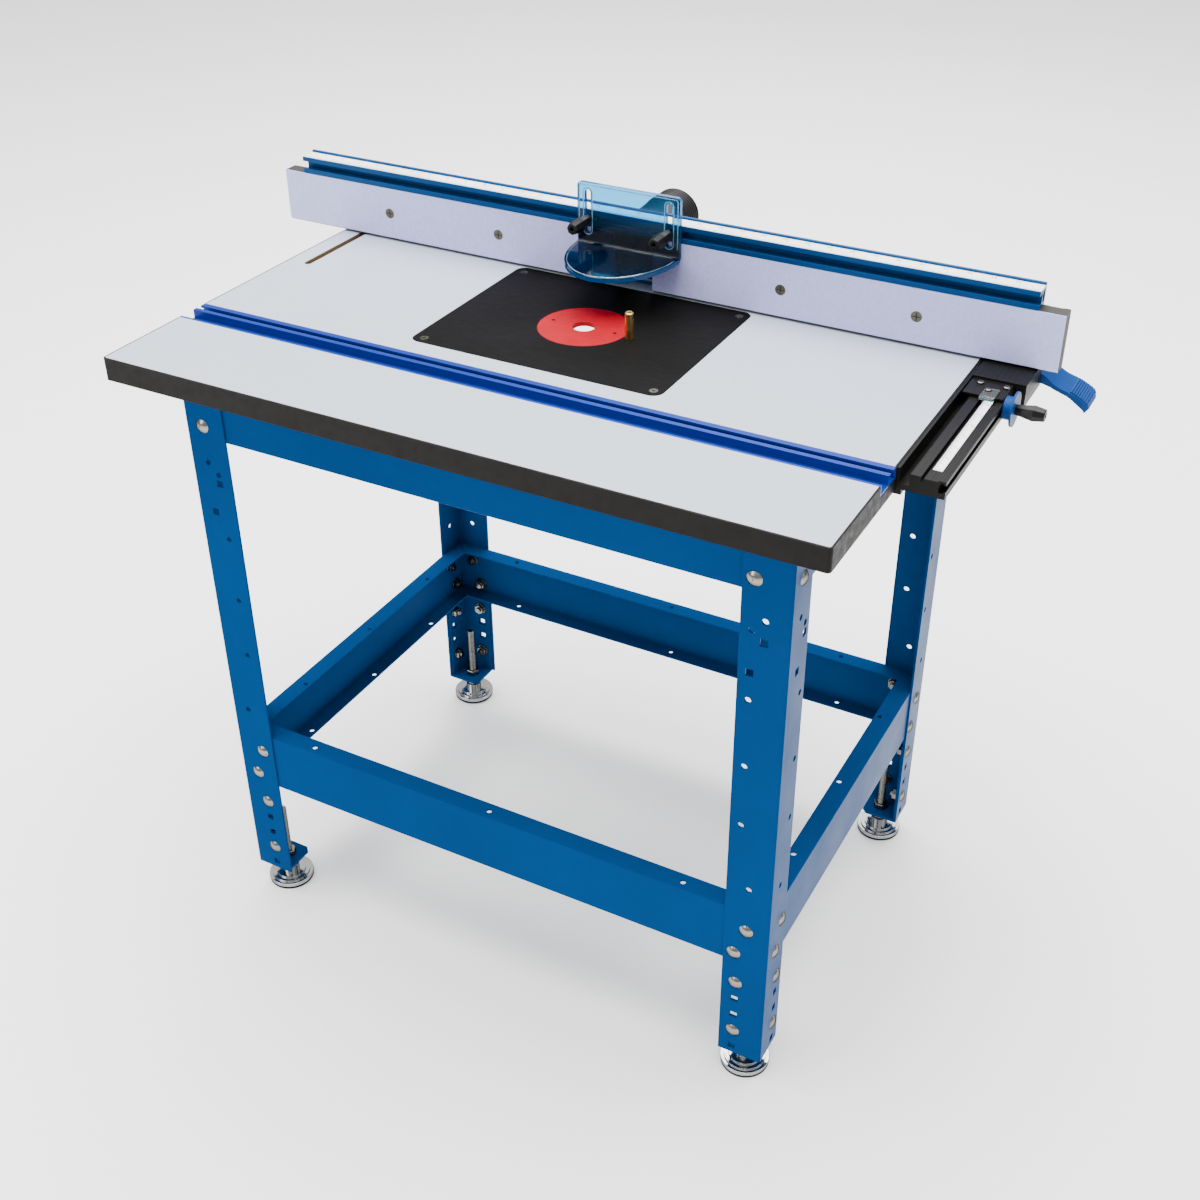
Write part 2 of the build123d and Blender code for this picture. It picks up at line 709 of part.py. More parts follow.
def make_reducer_ring():
    """Round insert ring around the bit, with two blind holes for a pin spanner."""
    with BuildPart() as ring:
        with BuildSketch(above(-ring_t)):
            Circle(ring_r)
            Circle(ring_bore, mode=Mode.SUBTRACT)
        extrude(amount=ring_t)
        chamfer(ring.faces().sort_by(Axis.Z)[-1].edges(), length=0.4)
        with BuildSketch(above(0)):
            with Locations((-spanner_hole_x, 0), (spanner_hole_x, 0)):
                Circle(2.0)
        extrude(amount=-3.0, mode=Mode.SUBTRACT)
    save(ring, "reducer_ring")


def make_starter_pin():
    """Brass starter pin with a shouldered shank in the router plate."""
    with BuildPart() as pin:
        with BuildSketch(above(0)):
            with Locations((pin_x, pin_y)):
                Circle(pin_r)
        extrude(amount=pin_h)
        chamfer(pin.faces().sort_by(Axis.Z)[-1].edges(), length=1.0)
        with BuildSketch(above(0)):
            with Locations((pin_x, pin_y)):
                Circle(3.24)
        extrude(amount=-plate_t + 0.5)
        with BuildSketch(above(pin_h)):
            with Locations((pin_x, pin_y)):
                RegularPolygon(radius=2.2, side_count=6)
        extrude(amount=-3.0, mode=Mode.SUBTRACT)
    save(pin, "starter_pin")


# ---------------------------------------------------------------- guide rail and carriage


def make_guide_rail():
    """Black rail along the right edge: a guide channel, a scale deck and a T-slot in its outer side."""
    with BuildPart() as rail:
        with BuildSketch(along(rail_back)):
            with BuildLine():
                Polyline(
                    (386.0, -table_t - rail_lip_t),
                    (386.0, -table_t),
                    (rail_in, -table_t),
                    (rail_in, -0.6),
                    (409.5, -0.6),
                    (409.5, -17.0),
                    (419.4, -17.0),
                    (419.4, rail_top),
                    (430.0, rail_top),
                    (430.0, -10.0),
                    (432.6, -10.0),
                    (432.6, scale_deck_z),
                    (446.5, scale_deck_z),
                    (446.5, rail_top),
                    (rail_out, rail_top),
                    (rail_out, stop_slot_z + 3.5),
                    (rail_out - 2.3, stop_slot_z + 3.5),
                    (rail_out - 2.3, stop_slot_z + 5.2),
                    (447.0, stop_slot_z + 5.2),
                    (447.0, stop_slot_z - 5.2),
                    (rail_out - 2.3, stop_slot_z - 5.2),
                    (rail_out - 2.3, stop_slot_z - 3.5),
                    (rail_out, stop_slot_z - 3.5),
                    (rail_out, -22.8),
                    (412.5, -22.8),
                    (412.5, -table_t - rail_lip_t),
                    close=True,
                )
            make_face()
        extrude(amount=rail_back - rail_front)
        with BuildSketch(level(underside_z - rail_lip_t)):
            with Locations(*[(rail_screw_hole_x, y) for y in rail_hole_ys]):
                Circle(wood_hole_r)
        extrude(amount=rail_lip_t, mode=Mode.SUBTRACT)
    save(rail, "guide_rail")


def make_guide_rail_scale():
    """White scale strip on the deck of the guide rail."""
    with BuildPart() as scale:
        with BuildSketch(above(scale_deck_z)):
            with Locations(((scale_low_x + scale_high_x) / 2, (rail_back + rail_front) / 2 + 8)):
                Rectangle(scale_high_x - scale_low_x, rail_back - rail_front - 24)
        extrude(amount=0.5)
    save(scale, "guide_rail_scale")


def make_fence_carriage():
    """Carriage that guides the fence on the rail, with a tongue in front and a notch for the lever."""
    low, top = -24.0, fence_low
    with BuildPart() as carriage:
        with BuildSketch(along(carriage_back)):
            with BuildLine():
                Polyline(
                    (410.3, top),
                    (carriage_out, top),
                    (carriage_out, low),
                    (rail_out + 0.4, low),
                    (rail_out + 0.4, stop_slot_z - 3.0),
                    (rail_out - 1.8, stop_slot_z - 3.0),
                    (rail_out - 1.8, stop_slot_z + 3.0),
                    (rail_out + 0.4, stop_slot_z + 3.0),
                    (rail_out + 0.4, rail_top + 0.4),
                    (418.8, rail_top + 0.4),
                    (418.8, -10.0),
                    (410.3, -10.0),
                    close=True,
                )
            make_face()
        extrude(amount=carriage_back - carriage_front)
        with BuildSketch(above(rail_top + 0.4)):
            with Locations(((411.0 + 453.0) / 2, (tongue_front + carriage_front + 2) / 2)):
                Rectangle(453.0 - 411.0, carriage_front + 2 - tongue_front)
        extrude(amount=3.0)
        with BuildSketch(above(low)):
            with Locations(((notch_in + carriage_out) / 2 + 1, (lever_front + lever_back) / 2)):
                Rectangle(carriage_out - notch_in + 2, lever_back - lever_front + 1.0)
        extrude(amount=top - low, mode=Mode.SUBTRACT)
        with Locations(spot(lever_x, carriage_back, table_top_z + lever_z, (0, 1, 0))):
            Hole(radius=lever_pin_r + 0.05, depth=carriage_back - lever_front + 12.0)
        with BuildSketch(above(top)):
            with Locations(*base_bolts):
                Circle(3.1)
        extrude(amount=rail_top + 0.4 - top, mode=Mode.SUBTRACT)
        with BuildSketch(above(rail_top + 0.4)):
            with Locations(*tongue_screws, cursor_screw):
                Circle(1.6)
        extrude(amount=3.0, mode=Mode.SUBTRACT)
    save(carriage, "fence_carriage")


def lever_outline():
    """Side view of the lever: a barrel at the pivot and an arm that curves down to the grip."""
    top = Spline(
        (lever_x, lever_z + lever_r),
        (478.0, -19.0),
        (487.0, -23.4),
        (498.0, -26.7),
        (508.0, -31.0),
        (lever_tip, -42.0),
        tangents=((1, -0.15), (0.15, -1)),
    )
    bottom = Spline(
        (lever_tip - 4.0, -46.5),
        (508.0, -39.0),
        (498.5, -32.6),
        (484.0, -27.2),
        (474.5, -23.8),
        (lever_x, lever_z - lever_r),
        tangents=((-0.2, 1), (-1, 0.15)),
    )
    Line(top @ 1, bottom @ 0)
    Line(bottom @ 1, top @ 0)
    return top


def make_cam_lever():
    """Blue cam lever that locks the fence to the rail, with grip ribs across its end."""
    with BuildPart() as lever:
        with BuildSketch(along(lever_back)):
            with BuildLine():
                top = lever_outline()
            make_face()
            with Locations((lever_x, lever_z)):
                Circle(lever_r)
        extrude(amount=lever_back - lever_front)
        with BuildSketch(along(lever_back - 2.0)):
            for step in range(9):
                rib = top @ (0.60 + 0.04 * step)
                with Locations((rib.X, rib.Y)):
                    Circle(1.25)
        extrude(amount=lever_back - lever_front - 4.0)
        with BuildSketch(above(-60)):
            with Locations((lever_tip - 50, (lever_front + lever_back) / 2)):
                RectangleRounded(100.0 + 1.0, lever_back - lever_front, 9.0)
        extrude(amount=80, mode=Mode.INTERSECT)
        with Locations(spot(lever_x, lever_front, table_top_z + lever_z, (0, -1, 0))):
            Hole(radius=lever_pin_r + 0.06)
    save(lever, "cam_lever")


def make_cursor_lens():
    """Clear cursor over the scale of the guide rail, held by one screw on the tongue."""
    with BuildPart() as lens:
        with BuildSketch(above(rail_top + 3.4)):
            with Locations((cursor_screw[0] + 3.0, 43.0)):
                RectangleRounded(15.0, 26.0, 2.0)
            with Locations(cursor_screw):
                Circle(1.7, mode=Mode.SUBTRACT)
        extrude(amount=2.0)
        with BuildSketch(above(rail_top + 3.4)):
            with Locations((cursor_screw[0] + 3.0, 34.0)):
                Rectangle(15.0, 0.4)
        extrude(amount=0.3, mode=Mode.SUBTRACT)
    save(lens, "cursor_lens")


# ---------------------------------------------------------------- fence


def make_fence_extrusion():
    """Aluminium fence: a web behind the facings, a foot flange, and a head with a T-slot above them."""
    web_y = fence_face + facing_t
    back = web_y + web_t
    with BuildPart() as fence:
        with BuildSketch(across(-fence_half)):
            with BuildLine():
                Polyline(
                    (fence_face, head_low),
                    (fence_face, head_slot_low),
                    (fence_face + 3, head_slot_low),
                    (fence_face + 3, head_slot_low - 1.5),
                    (fence_face + 9.4, head_slot_low - 1.5),
                    (fence_face + 9.4, head_slot_high + 1.5),
                    (fence_face + 3, head_slot_high + 1.5),
                    (fence_face + 3, head_slot_high),
                    (fence_face, head_slot_high),
                    (fence_face, head_high),
                    (back - 3.2, head_high),
                    (back - 3.2, rib_high),
                    (back, rib_high),
                    (back, fence_low + flange_t),
                    (flange_back - 3, fence_low + flange_t),
                    (flange_back - 3, 12.0),
                    (flange_back, 12.0),
                    (flange_back, fence_low),
                    (web_y, fence_low),
                    (web_y, head_low),
                    close=True,
                )
            make_face()
            with Locations((fence_face + 15.6, head_slot_mid)):
                Rectangle(6.4, 12.0, mode=Mode.SUBTRACT)
        extrude(amount=2 * fence_half)
        with BuildSketch(along(back)):
            with Locations((0, (fence_low + flange_t + 60.0) / 2)):
                Rectangle(80.0, 60.0 - fence_low - flange_t)
            with Locations(*[(sign * x, facing_screw_z) for x in facing_screw_xs for sign in (-1, 1)]):
                SlotOverall(2 * facing_travel + 7.0, 7.0)
            with Locations(*[(sign * port_screw_x, port_screw_z) for sign in (-1, 1)]):
                Circle(2.2)
        extrude(amount=web_t, mode=Mode.SUBTRACT)
        with BuildSketch(above(fence_low)):
            with Locations(*base_bolts):
                Circle(3.2)
            with Locations((clamp_x, clamp_bolt_y)):
                Circle(4.2)
        extrude(amount=flange_t, mode=Mode.SUBTRACT)
    save(fence, "fence_extrusion")


def make_fence_scale():
    """White scale strip on top of the fence head."""
    back = fence_face + facing_t + web_t - 3.2
    with BuildPart() as scale:
        with BuildSketch(above(head_high)):
            with Locations((0, (fence_face + 1.0 + back - 0.3) / 2)):
                Rectangle(2 * fence_half, back - 0.3 - fence_face - 1.0)
        extrude(amount=0.6)
    save(scale, "fence_scale")


def make_facing(name, sign):
    """Laminated facing board with a dust relief along its foot and two countersunk holes."""
    inner, outer = facing_gap / 2, facing_end
    with BuildPart() as board:
        with BuildSketch(above(facing_low)):
            with Locations((sign * (inner + outer) / 2, fence_face + facing_t / 2)):
                Rectangle(outer - inner, facing_t)
        extrude(amount=facing_high - facing_low)
        relief = board.edges().filter_by(Axis.X).group_by(Axis.Z)[0].sort_by(Axis.Y)[0]
        chamfer(relief, length=2.0)
        for x in facing_screw_xs:
            with Locations(spot(sign * x, fence_face, table_top_z + facing_screw_z, (0, -1, 0))):
                CounterSinkHole(screw_r + 0.2, screw_head_r + 0.3, depth=facing_t + 1)
    save(board, name)


def make_facing_screws(name, sign):
    """Cross-recessed flat screws of one facing, with the washer-faced nuts behind the web."""
    length = facing_t + web_t + 9.0
    with BuildPart() as screw:
        with BuildSketch(Plane.XZ):
            with BuildLine():
                Polyline(
                    (0, -0.3),
                    (screw_head_r, -0.3),
                    (screw_r, -0.3 - screw_head_r + screw_r),
                    (screw_r, -length),
                    (0, -length),
                    close=True,
                )
            make_face()
        revolve(axis=Axis.Z)
        with BuildSketch(Plane.XY.offset(-0.3)):
            Rectangle(6.4, 1.3)
            Rectangle(1.3, 6.4)
        extrude(amount=-1.8, mode=Mode.SUBTRACT)
    with BuildPart() as nut:
        with BuildSketch(Plane.XY):
            Circle(8.0)
        extrude(amount=-1.4)
        with BuildSketch(Plane.XY):
            RegularPolygon(radius=5.5, side_count=6, major_radius=False)
        extrude(amount=-6.6)
        with BuildSketch(Plane.XY):
            Circle(screw_r + 0.1)
        extrude(amount=-6.6, mode=Mode.SUBTRACT)
    with BuildPart() as screws:
        for x in facing_screw_xs:
            seat = spot(sign * x, fence_face, table_top_z + facing_screw_z, (0, -1, 0))
            with Locations(seat):
                add(screw.part)
            with Locations(seat.offset(-facing_t - web_t)):
                add(nut.part)
    save(screws, name)


def hood_sections(inset):
    """Sections of the dust hood from its mouth on the web to the round port, inset for the inside."""
    back = fence_face + facing_t + web_t
    with BuildSketch(along(back)) as mouth:
        with Locations((0, (hood_low + hood_high) / 2)):
            RectangleRounded(hood_w - 2 * inset, hood_high - hood_low - 2 * inset, 8.0)
    with BuildSketch(along(port_front)) as neck:
        with Locations((0, port_z)):
            Circle(port_r - inset)
    return mouth.sketch, neck.sketch


def make_dust_port():
    """Dust hood behind the web that narrows to a round hose port, with two fixing ears."""
    back = fence_face + facing_t + web_t
    outside, inside = hood_sections(0), hood_sections(port_wall)
    with BuildPart() as port:
        loft(sections=outside)
        with BuildSketch(along(port_back)):
            with Locations((0, port_z)):
                Circle(port_r)
        extrude(amount=port_back - port_front)
        with BuildSketch(along(back + 3.0)):
            with Locations((0, port_screw_z)):
                RectangleRounded(2 * port_screw_x + 18.0, 30.0, 5.0)
        extrude(amount=3.0)
        loft(sections=inside, mode=Mode.SUBTRACT)
        with BuildSketch(along(port_back)):
            with Locations((0, port_z)):
                Circle(port_r - port_wall)
        extrude(amount=port_back - port_front, mode=Mode.SUBTRACT)
        with BuildSketch(along(back + 3.0)):
            with Locations((-port_screw_x, port_screw_z), (port_screw_x, port_screw_z)):
                Circle(2.2)
        extrude(amount=3.0, mode=Mode.SUBTRACT)
    save(port, "dust_port")


def make_fence_fasteners():
    """Small fasteners of the fence: carriage and base bolts, cursor and port screws, lever pin."""
    with BuildPart() as small_screw:
        Cylinder(3.6, 2.2, align=(Align.CENTER, Align.CENTER, Align.MIN))
        fillet(small_screw.edges().sort_by(Axis.Z)[-1], radius=1.0)
        Cylinder(1.5, 3.0, align=(Align.CENTER, Align.CENTER, Align.MAX))
    with BuildPart() as base_bolt:
        Cylinder(5.0, 5.0, align=(Align.CENTER, Align.CENTER, Align.MIN))
        Cylinder(3.0, flange_t + 5.0, align=(Align.CENTER, Align.CENTER, Align.MAX))
        with BuildSketch(Plane.XY.offset(5.0)):
            RegularPolygon(radius=2.6, side_count=6)
        extrude(amount=-2.6, mode=Mode.SUBTRACT)
    with BuildPart() as port_screw:
        Cylinder(4.0, 2.4, align=(Align.CENTER, Align.CENTER, Align.MIN))
        Cylinder(2.1, 3.0 + web_t, align=(Align.CENTER, Align.CENTER, Align.MAX))
    tongue_top = table_top_z + rail_top + 3.4
    back = fence_face + facing_t + web_t
    with BuildPart() as fasteners:
        for x, y in tongue_screws:
            with Locations(spot(x, y, tongue_top, (0, 0, 1))):
                add(small_screw.part)
        with Locations(spot(*cursor_screw, tongue_top + 2.0, (0, 0, 1))):
            add(small_screw.part)
        for x, y in base_bolts:
            with Locations(spot(x, y, table_top_z + fence_low + flange_t, (0, 0, 1))):
                add(base_bolt.part)
        for sign in (-1, 1):
            with Locations(spot(sign * port_screw_x, back + 3.0, table_top_z + port_screw_z, (0, 1, 0))):
                add(port_screw.part)
        with BuildSketch(along(lever_back + 12.0)):
            with Locations((lever_x, lever_z)):
                Circle(lever_pin_r)
        extrude(amount=lever_back - lever_front + 23.0)
    save(fasteners, "fence_fasteners")


def make_fence_glides():
    """Plastic pad between the fence flange and the top, and the plate under the clamp slot."""
    with BuildPart() as glides:
        with BuildSketch(above(0)):
            with Locations((clamp_x, clamp_bolt_y)):
                RectangleRounded(40.0, 44.0, 4.0)
                Circle(4.2, mode=Mode.SUBTRACT)
        extrude(amount=fence_low)
        with BuildSketch(above(-table_t - 3.2)):
            with Locations((clamp_x, clamp_bolt_y)):
                RectangleRounded(26.0, 44.0, 4.0)
                Circle(4.2, mode=Mode.SUBTRACT)
        extrude(amount=3.0)
    save(glides, "fence_glides")


def make_clamp_bolt():
    """Hex bolt of the left clamp, up through the slot in the top and the fence flange."""
    with BuildPart() as bolt:
        with BuildSketch(above(-table_t - 3.2)):
            with Locations((clamp_x, clamp_bolt_y)):
                RegularPolygon(radius=6.5, side_count=6, major_radius=False)
        extrude(amount=-5.3)
        with BuildSketch(above(-table_t - 3.2)):
            with Locations((clamp_x, clamp_bolt_y)):
                Circle(3.95)
        extrude(amount=table_t + 3.2 + 24.0)
    save(bolt, "clamp_bolt")


def make_clamp_knob():
    """Five-lobed knob that locks the left end of the fence."""
    base = fence_low + flange_t + 0.4
    with BuildPart() as knob:
        with BuildSketch(above(base)):
            with Locations((clamp_x, clamp_bolt_y)):
                Circle(9.0)
        extrude(amount=8.0)
        with BuildSketch(above(base + 8.0)):
            with Locations((clamp_x, clamp_bolt_y)):
                Circle(14.0)
                with PolarLocations(13.0, 5):
                    Circle(5.0)
        extrude(amount=12.0)
        fillet(knob.edges().filter_by(GeomType.LINE), radius=0.8)
        with BuildSketch(above(base)):
            with Locations((clamp_x, clamp_bolt_y)):
                Circle(3.95 + knob_clear)
        extrude(amount=19.0, mode=Mode.SUBTRACT)
    save(knob, "clamp_knob")


# ---------------------------------------------------------------- bit guard


def make_guard():
    """Clear bit guard: an upright plate with two slots, bent into a half-oval shelf."""
    front = guard_back_y - guard_t
    with BuildPart() as guard:
        with BuildSketch(across(guard_x - guard_w / 2)) as profile:
            with BuildLine():
                Polyline(
                    (front - guard_depth, guard_shelf_z),
                    (guard_back_y, guard_shelf_z),
                    (guard_back_y, guard_top),
                    (front, guard_top),
                    (front, guard_shelf_z + guard_t),
                    (front - guard_depth, guard_shelf_z + guard_t),
                    close=True,
                )
            make_face()
            bend = profile.vertices().sort_by_distance((front, guard_shelf_z + guard_t, 0))
            fillet(bend[0], radius=3.0)
            heel = profile.vertices().sort_by_distance((guard_back_y, guard_shelf_z, 0))
            fillet(heel[0], radius=3.0 + guard_t)
        extrude(amount=guard_w)
        fillet(guard.edges().filter_by(Axis.Y).group_by(Axis.Z)[-1], radius=4.0)
        with BuildSketch(above(guard_shelf_z)):
            with Locations((guard_x, front)):
                Ellipse(guard_w / 2, guard_depth)
            with Locations((guard_x, front + guard_depth)):
                Rectangle(2 * guard_w, 2 * guard_depth, mode=Mode.SUBTRACT)
            with Locations((guard_x, front + guard_t / 2)):
                Rectangle(guard_w, guard_t)
        extrude(amount=guard_top - guard_shelf_z, mode=Mode.INTERSECT)
        with BuildSketch(along(guard_back_y)):
            with Locations((guard_x, (guard_slot_low + guard_slot_high) / 2)):
                with GridLocations(guard_slot_pitch, 0, 2, 1):
                    SlotOverall(guard_slot_high - guard_slot_low, guard_slot_w, rotation=90)
        extrude(amount=guard_t, mode=Mode.SUBTRACT)
    save(guard, "bit_guard")


def make_guard_bolts():
    """Two T-head bolts in the slot of the fence head."""
    head_y = fence_face + 3.3
    with BuildPart() as bolts:
        xs = [guard_x + sign * guard_slot_pitch / 2 for sign in (-1, 1)]
        with BuildSketch(along(head_y + 4.4)):
            with Locations(*[(x, head_slot_mid) for x in xs]):
                Rectangle(15.0, 11.4)
        extrude(amount=4.4)
        with BuildSketch(along(head_y)):
            with Locations(*[(x, head_slot_mid) for x in xs]):
                Circle(stud_r)
        extrude(amount=head_y - guard_back_y + guard_t + 22.0)
    save(bolts, "guard_bolts")


def make_knob(name, plane, length):
    """Tapered eight-sided knob on a stud, with a blind hole in its outer end; the plane is its seat."""
    with BuildPart() as knob:
        sections = ((0.0, 5.6), (5.0, 6.2), (0.6 * length, 8.6), (length, 6.6))
        for (low, low_r), (high, high_r) in zip(sections, sections[1:]):
            with BuildSketch(plane.offset(low)):
                RegularPolygon(radius=low_r, side_count=8)
            with BuildSketch(plane.offset(high)):
                RegularPolygon(radius=high_r, side_count=8)
            loft()
        chamfer(knob.faces().sort_by_distance(plane.offset(length).origin)[0].edges(), length=0.8)
        with BuildSketch(plane):
            Circle(stud_r + knob_clear)
        extrude(amount=23.0, mode=Mode.SUBTRACT)
        with BuildSketch(plane.offset(length)):
            Circle(2.6)
        extrude(amount=-6.0, mode=Mode.SUBTRACT)
    save(knob, name)


# ---------------------------------------------------------------- track stop


def make_track_stop():
    """Blue stop on the guide rail: a hub and a thin round flag, keyed in the rail's T-slot."""
    with BuildPart() as stop:
        with BuildSketch(across(rail_out + 0.3)):
            with Locations((stop_y, stop_slot_z)):
                Circle(stop_hub_r)
        extrude(amount=8.7)
        with BuildSketch(across(rail_out + 9.0)):
            with Locations((stop_y, stop_slot_z)):
                Circle(stop_flag_r)
        extrude(amount=2.0)
        with BuildSketch(across(rail_out - 1.6)):
            with Locations((stop_y, stop_slot_z)):
                Rectangle(14.0, 6.2)
        extrude(amount=3.0)
        with BuildSketch(across(rail_out - 1.6)):
            with Locations((stop_y, stop_slot_z)):
                Circle(stud_r + 0.1)
        extrude(amount=20.0, mode=Mode.SUBTRACT)
    save(stop, "track_stop")
    with BuildPart() as bolt:
        with BuildSketch(across(447.4)):
            with Locations((stop_y, stop_slot_z)):
                Rectangle(12.0, 9.8)
        extrude(amount=3.9)
        with BuildSketch(across(451.3)):
            with Locations((stop_y, stop_slot_z)):
                Circle(stud_r)
        extrude(amount=rail_out + 11.2 - 451.3 + 22.0)
    save(bolt, "stop_bolt")


# ---------------------------------------------------------------- build


def main():
    """Build and write every piece."""
    os.makedirs("parts", exist_ok=True)
    for corner, (side, face) in corners.items():
        make_leg(f"leg_{corner}", side, face)
        make_levelling_foot(corner, side, face)
    make_foot_brackets()
    for tier, rail_z in (("upper", upper_rail_z), ("lower", lower_rail_z)):
        make_long_rail(f"{tier}_rail_front", -1, rail_z)
        make_long_rail(f"{tier}_rail_rear", 1, rail_z)
        make_short_rail(f"{tier}_rail_left", -1, rail_z)
        make_short_rail(f"{tier}_rail_right", 1, rail_z)
    make_stand_fasteners()
    make_table_core()
    make_table_laminate()
    make_edge_band()
    make_mitre_track()
    make_wood_screws()
    make_insert_plate()
    make_plate_screws()
    make_plate_levelers()
    make_reducer_ring()
    make_starter_pin()
    make_guide_rail()
    make_guide_rail_scale()
    make_fence_carriage()
    make_cam_lever()
    make_cursor_lens()
    make_fence_extrusion()
    make_fence_scale()
    for side_name, sign in (("left", -1), ("right", 1)):
        make_facing(f"facing_{side_name}", sign)
        make_facing_screws(f"facing_screws_{side_name}", sign)
        knob_x = guard_x + sign * guard_slot_pitch / 2
        seat = spot(knob_x, guard_back_y - guard_t - 0.2, table_top_z + head_slot_mid, (0, -1, 0))
        make_knob(f"guard_knob_{side_name}", seat, guard_knob_len)
    make_dust_port()
    make_fence_fasteners()
    make_fence_glides()
    make_clamp_bolt()
    make_clamp_knob()
    make_guard()
    make_guard_bolts()
    make_track_stop()
    seat = spot(rail_out + 11.2, stop_y, table_top_z + stop_slot_z, (1, 0, 0))
    make_knob("stop_knob", seat, stop_knob_len)


main()
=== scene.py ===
"""Looks of the router table: materials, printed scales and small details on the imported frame."""

import json
import math

import bpy
from mathutils import Matrix, Vector


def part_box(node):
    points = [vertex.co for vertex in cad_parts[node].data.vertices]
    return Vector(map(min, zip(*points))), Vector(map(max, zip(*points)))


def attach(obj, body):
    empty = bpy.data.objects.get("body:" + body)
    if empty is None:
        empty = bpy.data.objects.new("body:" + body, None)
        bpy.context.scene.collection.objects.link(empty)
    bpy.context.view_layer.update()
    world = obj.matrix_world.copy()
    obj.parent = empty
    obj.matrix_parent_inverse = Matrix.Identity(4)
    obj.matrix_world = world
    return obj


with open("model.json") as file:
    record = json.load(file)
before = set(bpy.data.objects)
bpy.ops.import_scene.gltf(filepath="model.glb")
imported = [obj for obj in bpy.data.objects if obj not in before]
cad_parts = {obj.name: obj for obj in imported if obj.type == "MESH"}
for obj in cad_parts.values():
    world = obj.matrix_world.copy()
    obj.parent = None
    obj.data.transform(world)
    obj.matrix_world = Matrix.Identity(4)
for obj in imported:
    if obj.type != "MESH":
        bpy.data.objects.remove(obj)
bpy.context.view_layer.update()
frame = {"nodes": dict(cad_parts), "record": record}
nodes = frame["nodes"]
top_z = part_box("insert_plate")[1].z
mid_x = sum(c.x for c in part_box("insert_plate")) / 2


# ---------------------------------------------------------------- node helpers


def srgb(r, g, b):
    """Linear colour from 8-bit display values."""
    out = []
    for v in (r, g, b):
        v = v / 255
        out.append(v / 12.92 if v <= 0.04045 else ((v + 0.055) / 1.055) ** 2.4)
    return (*out, 1.0)


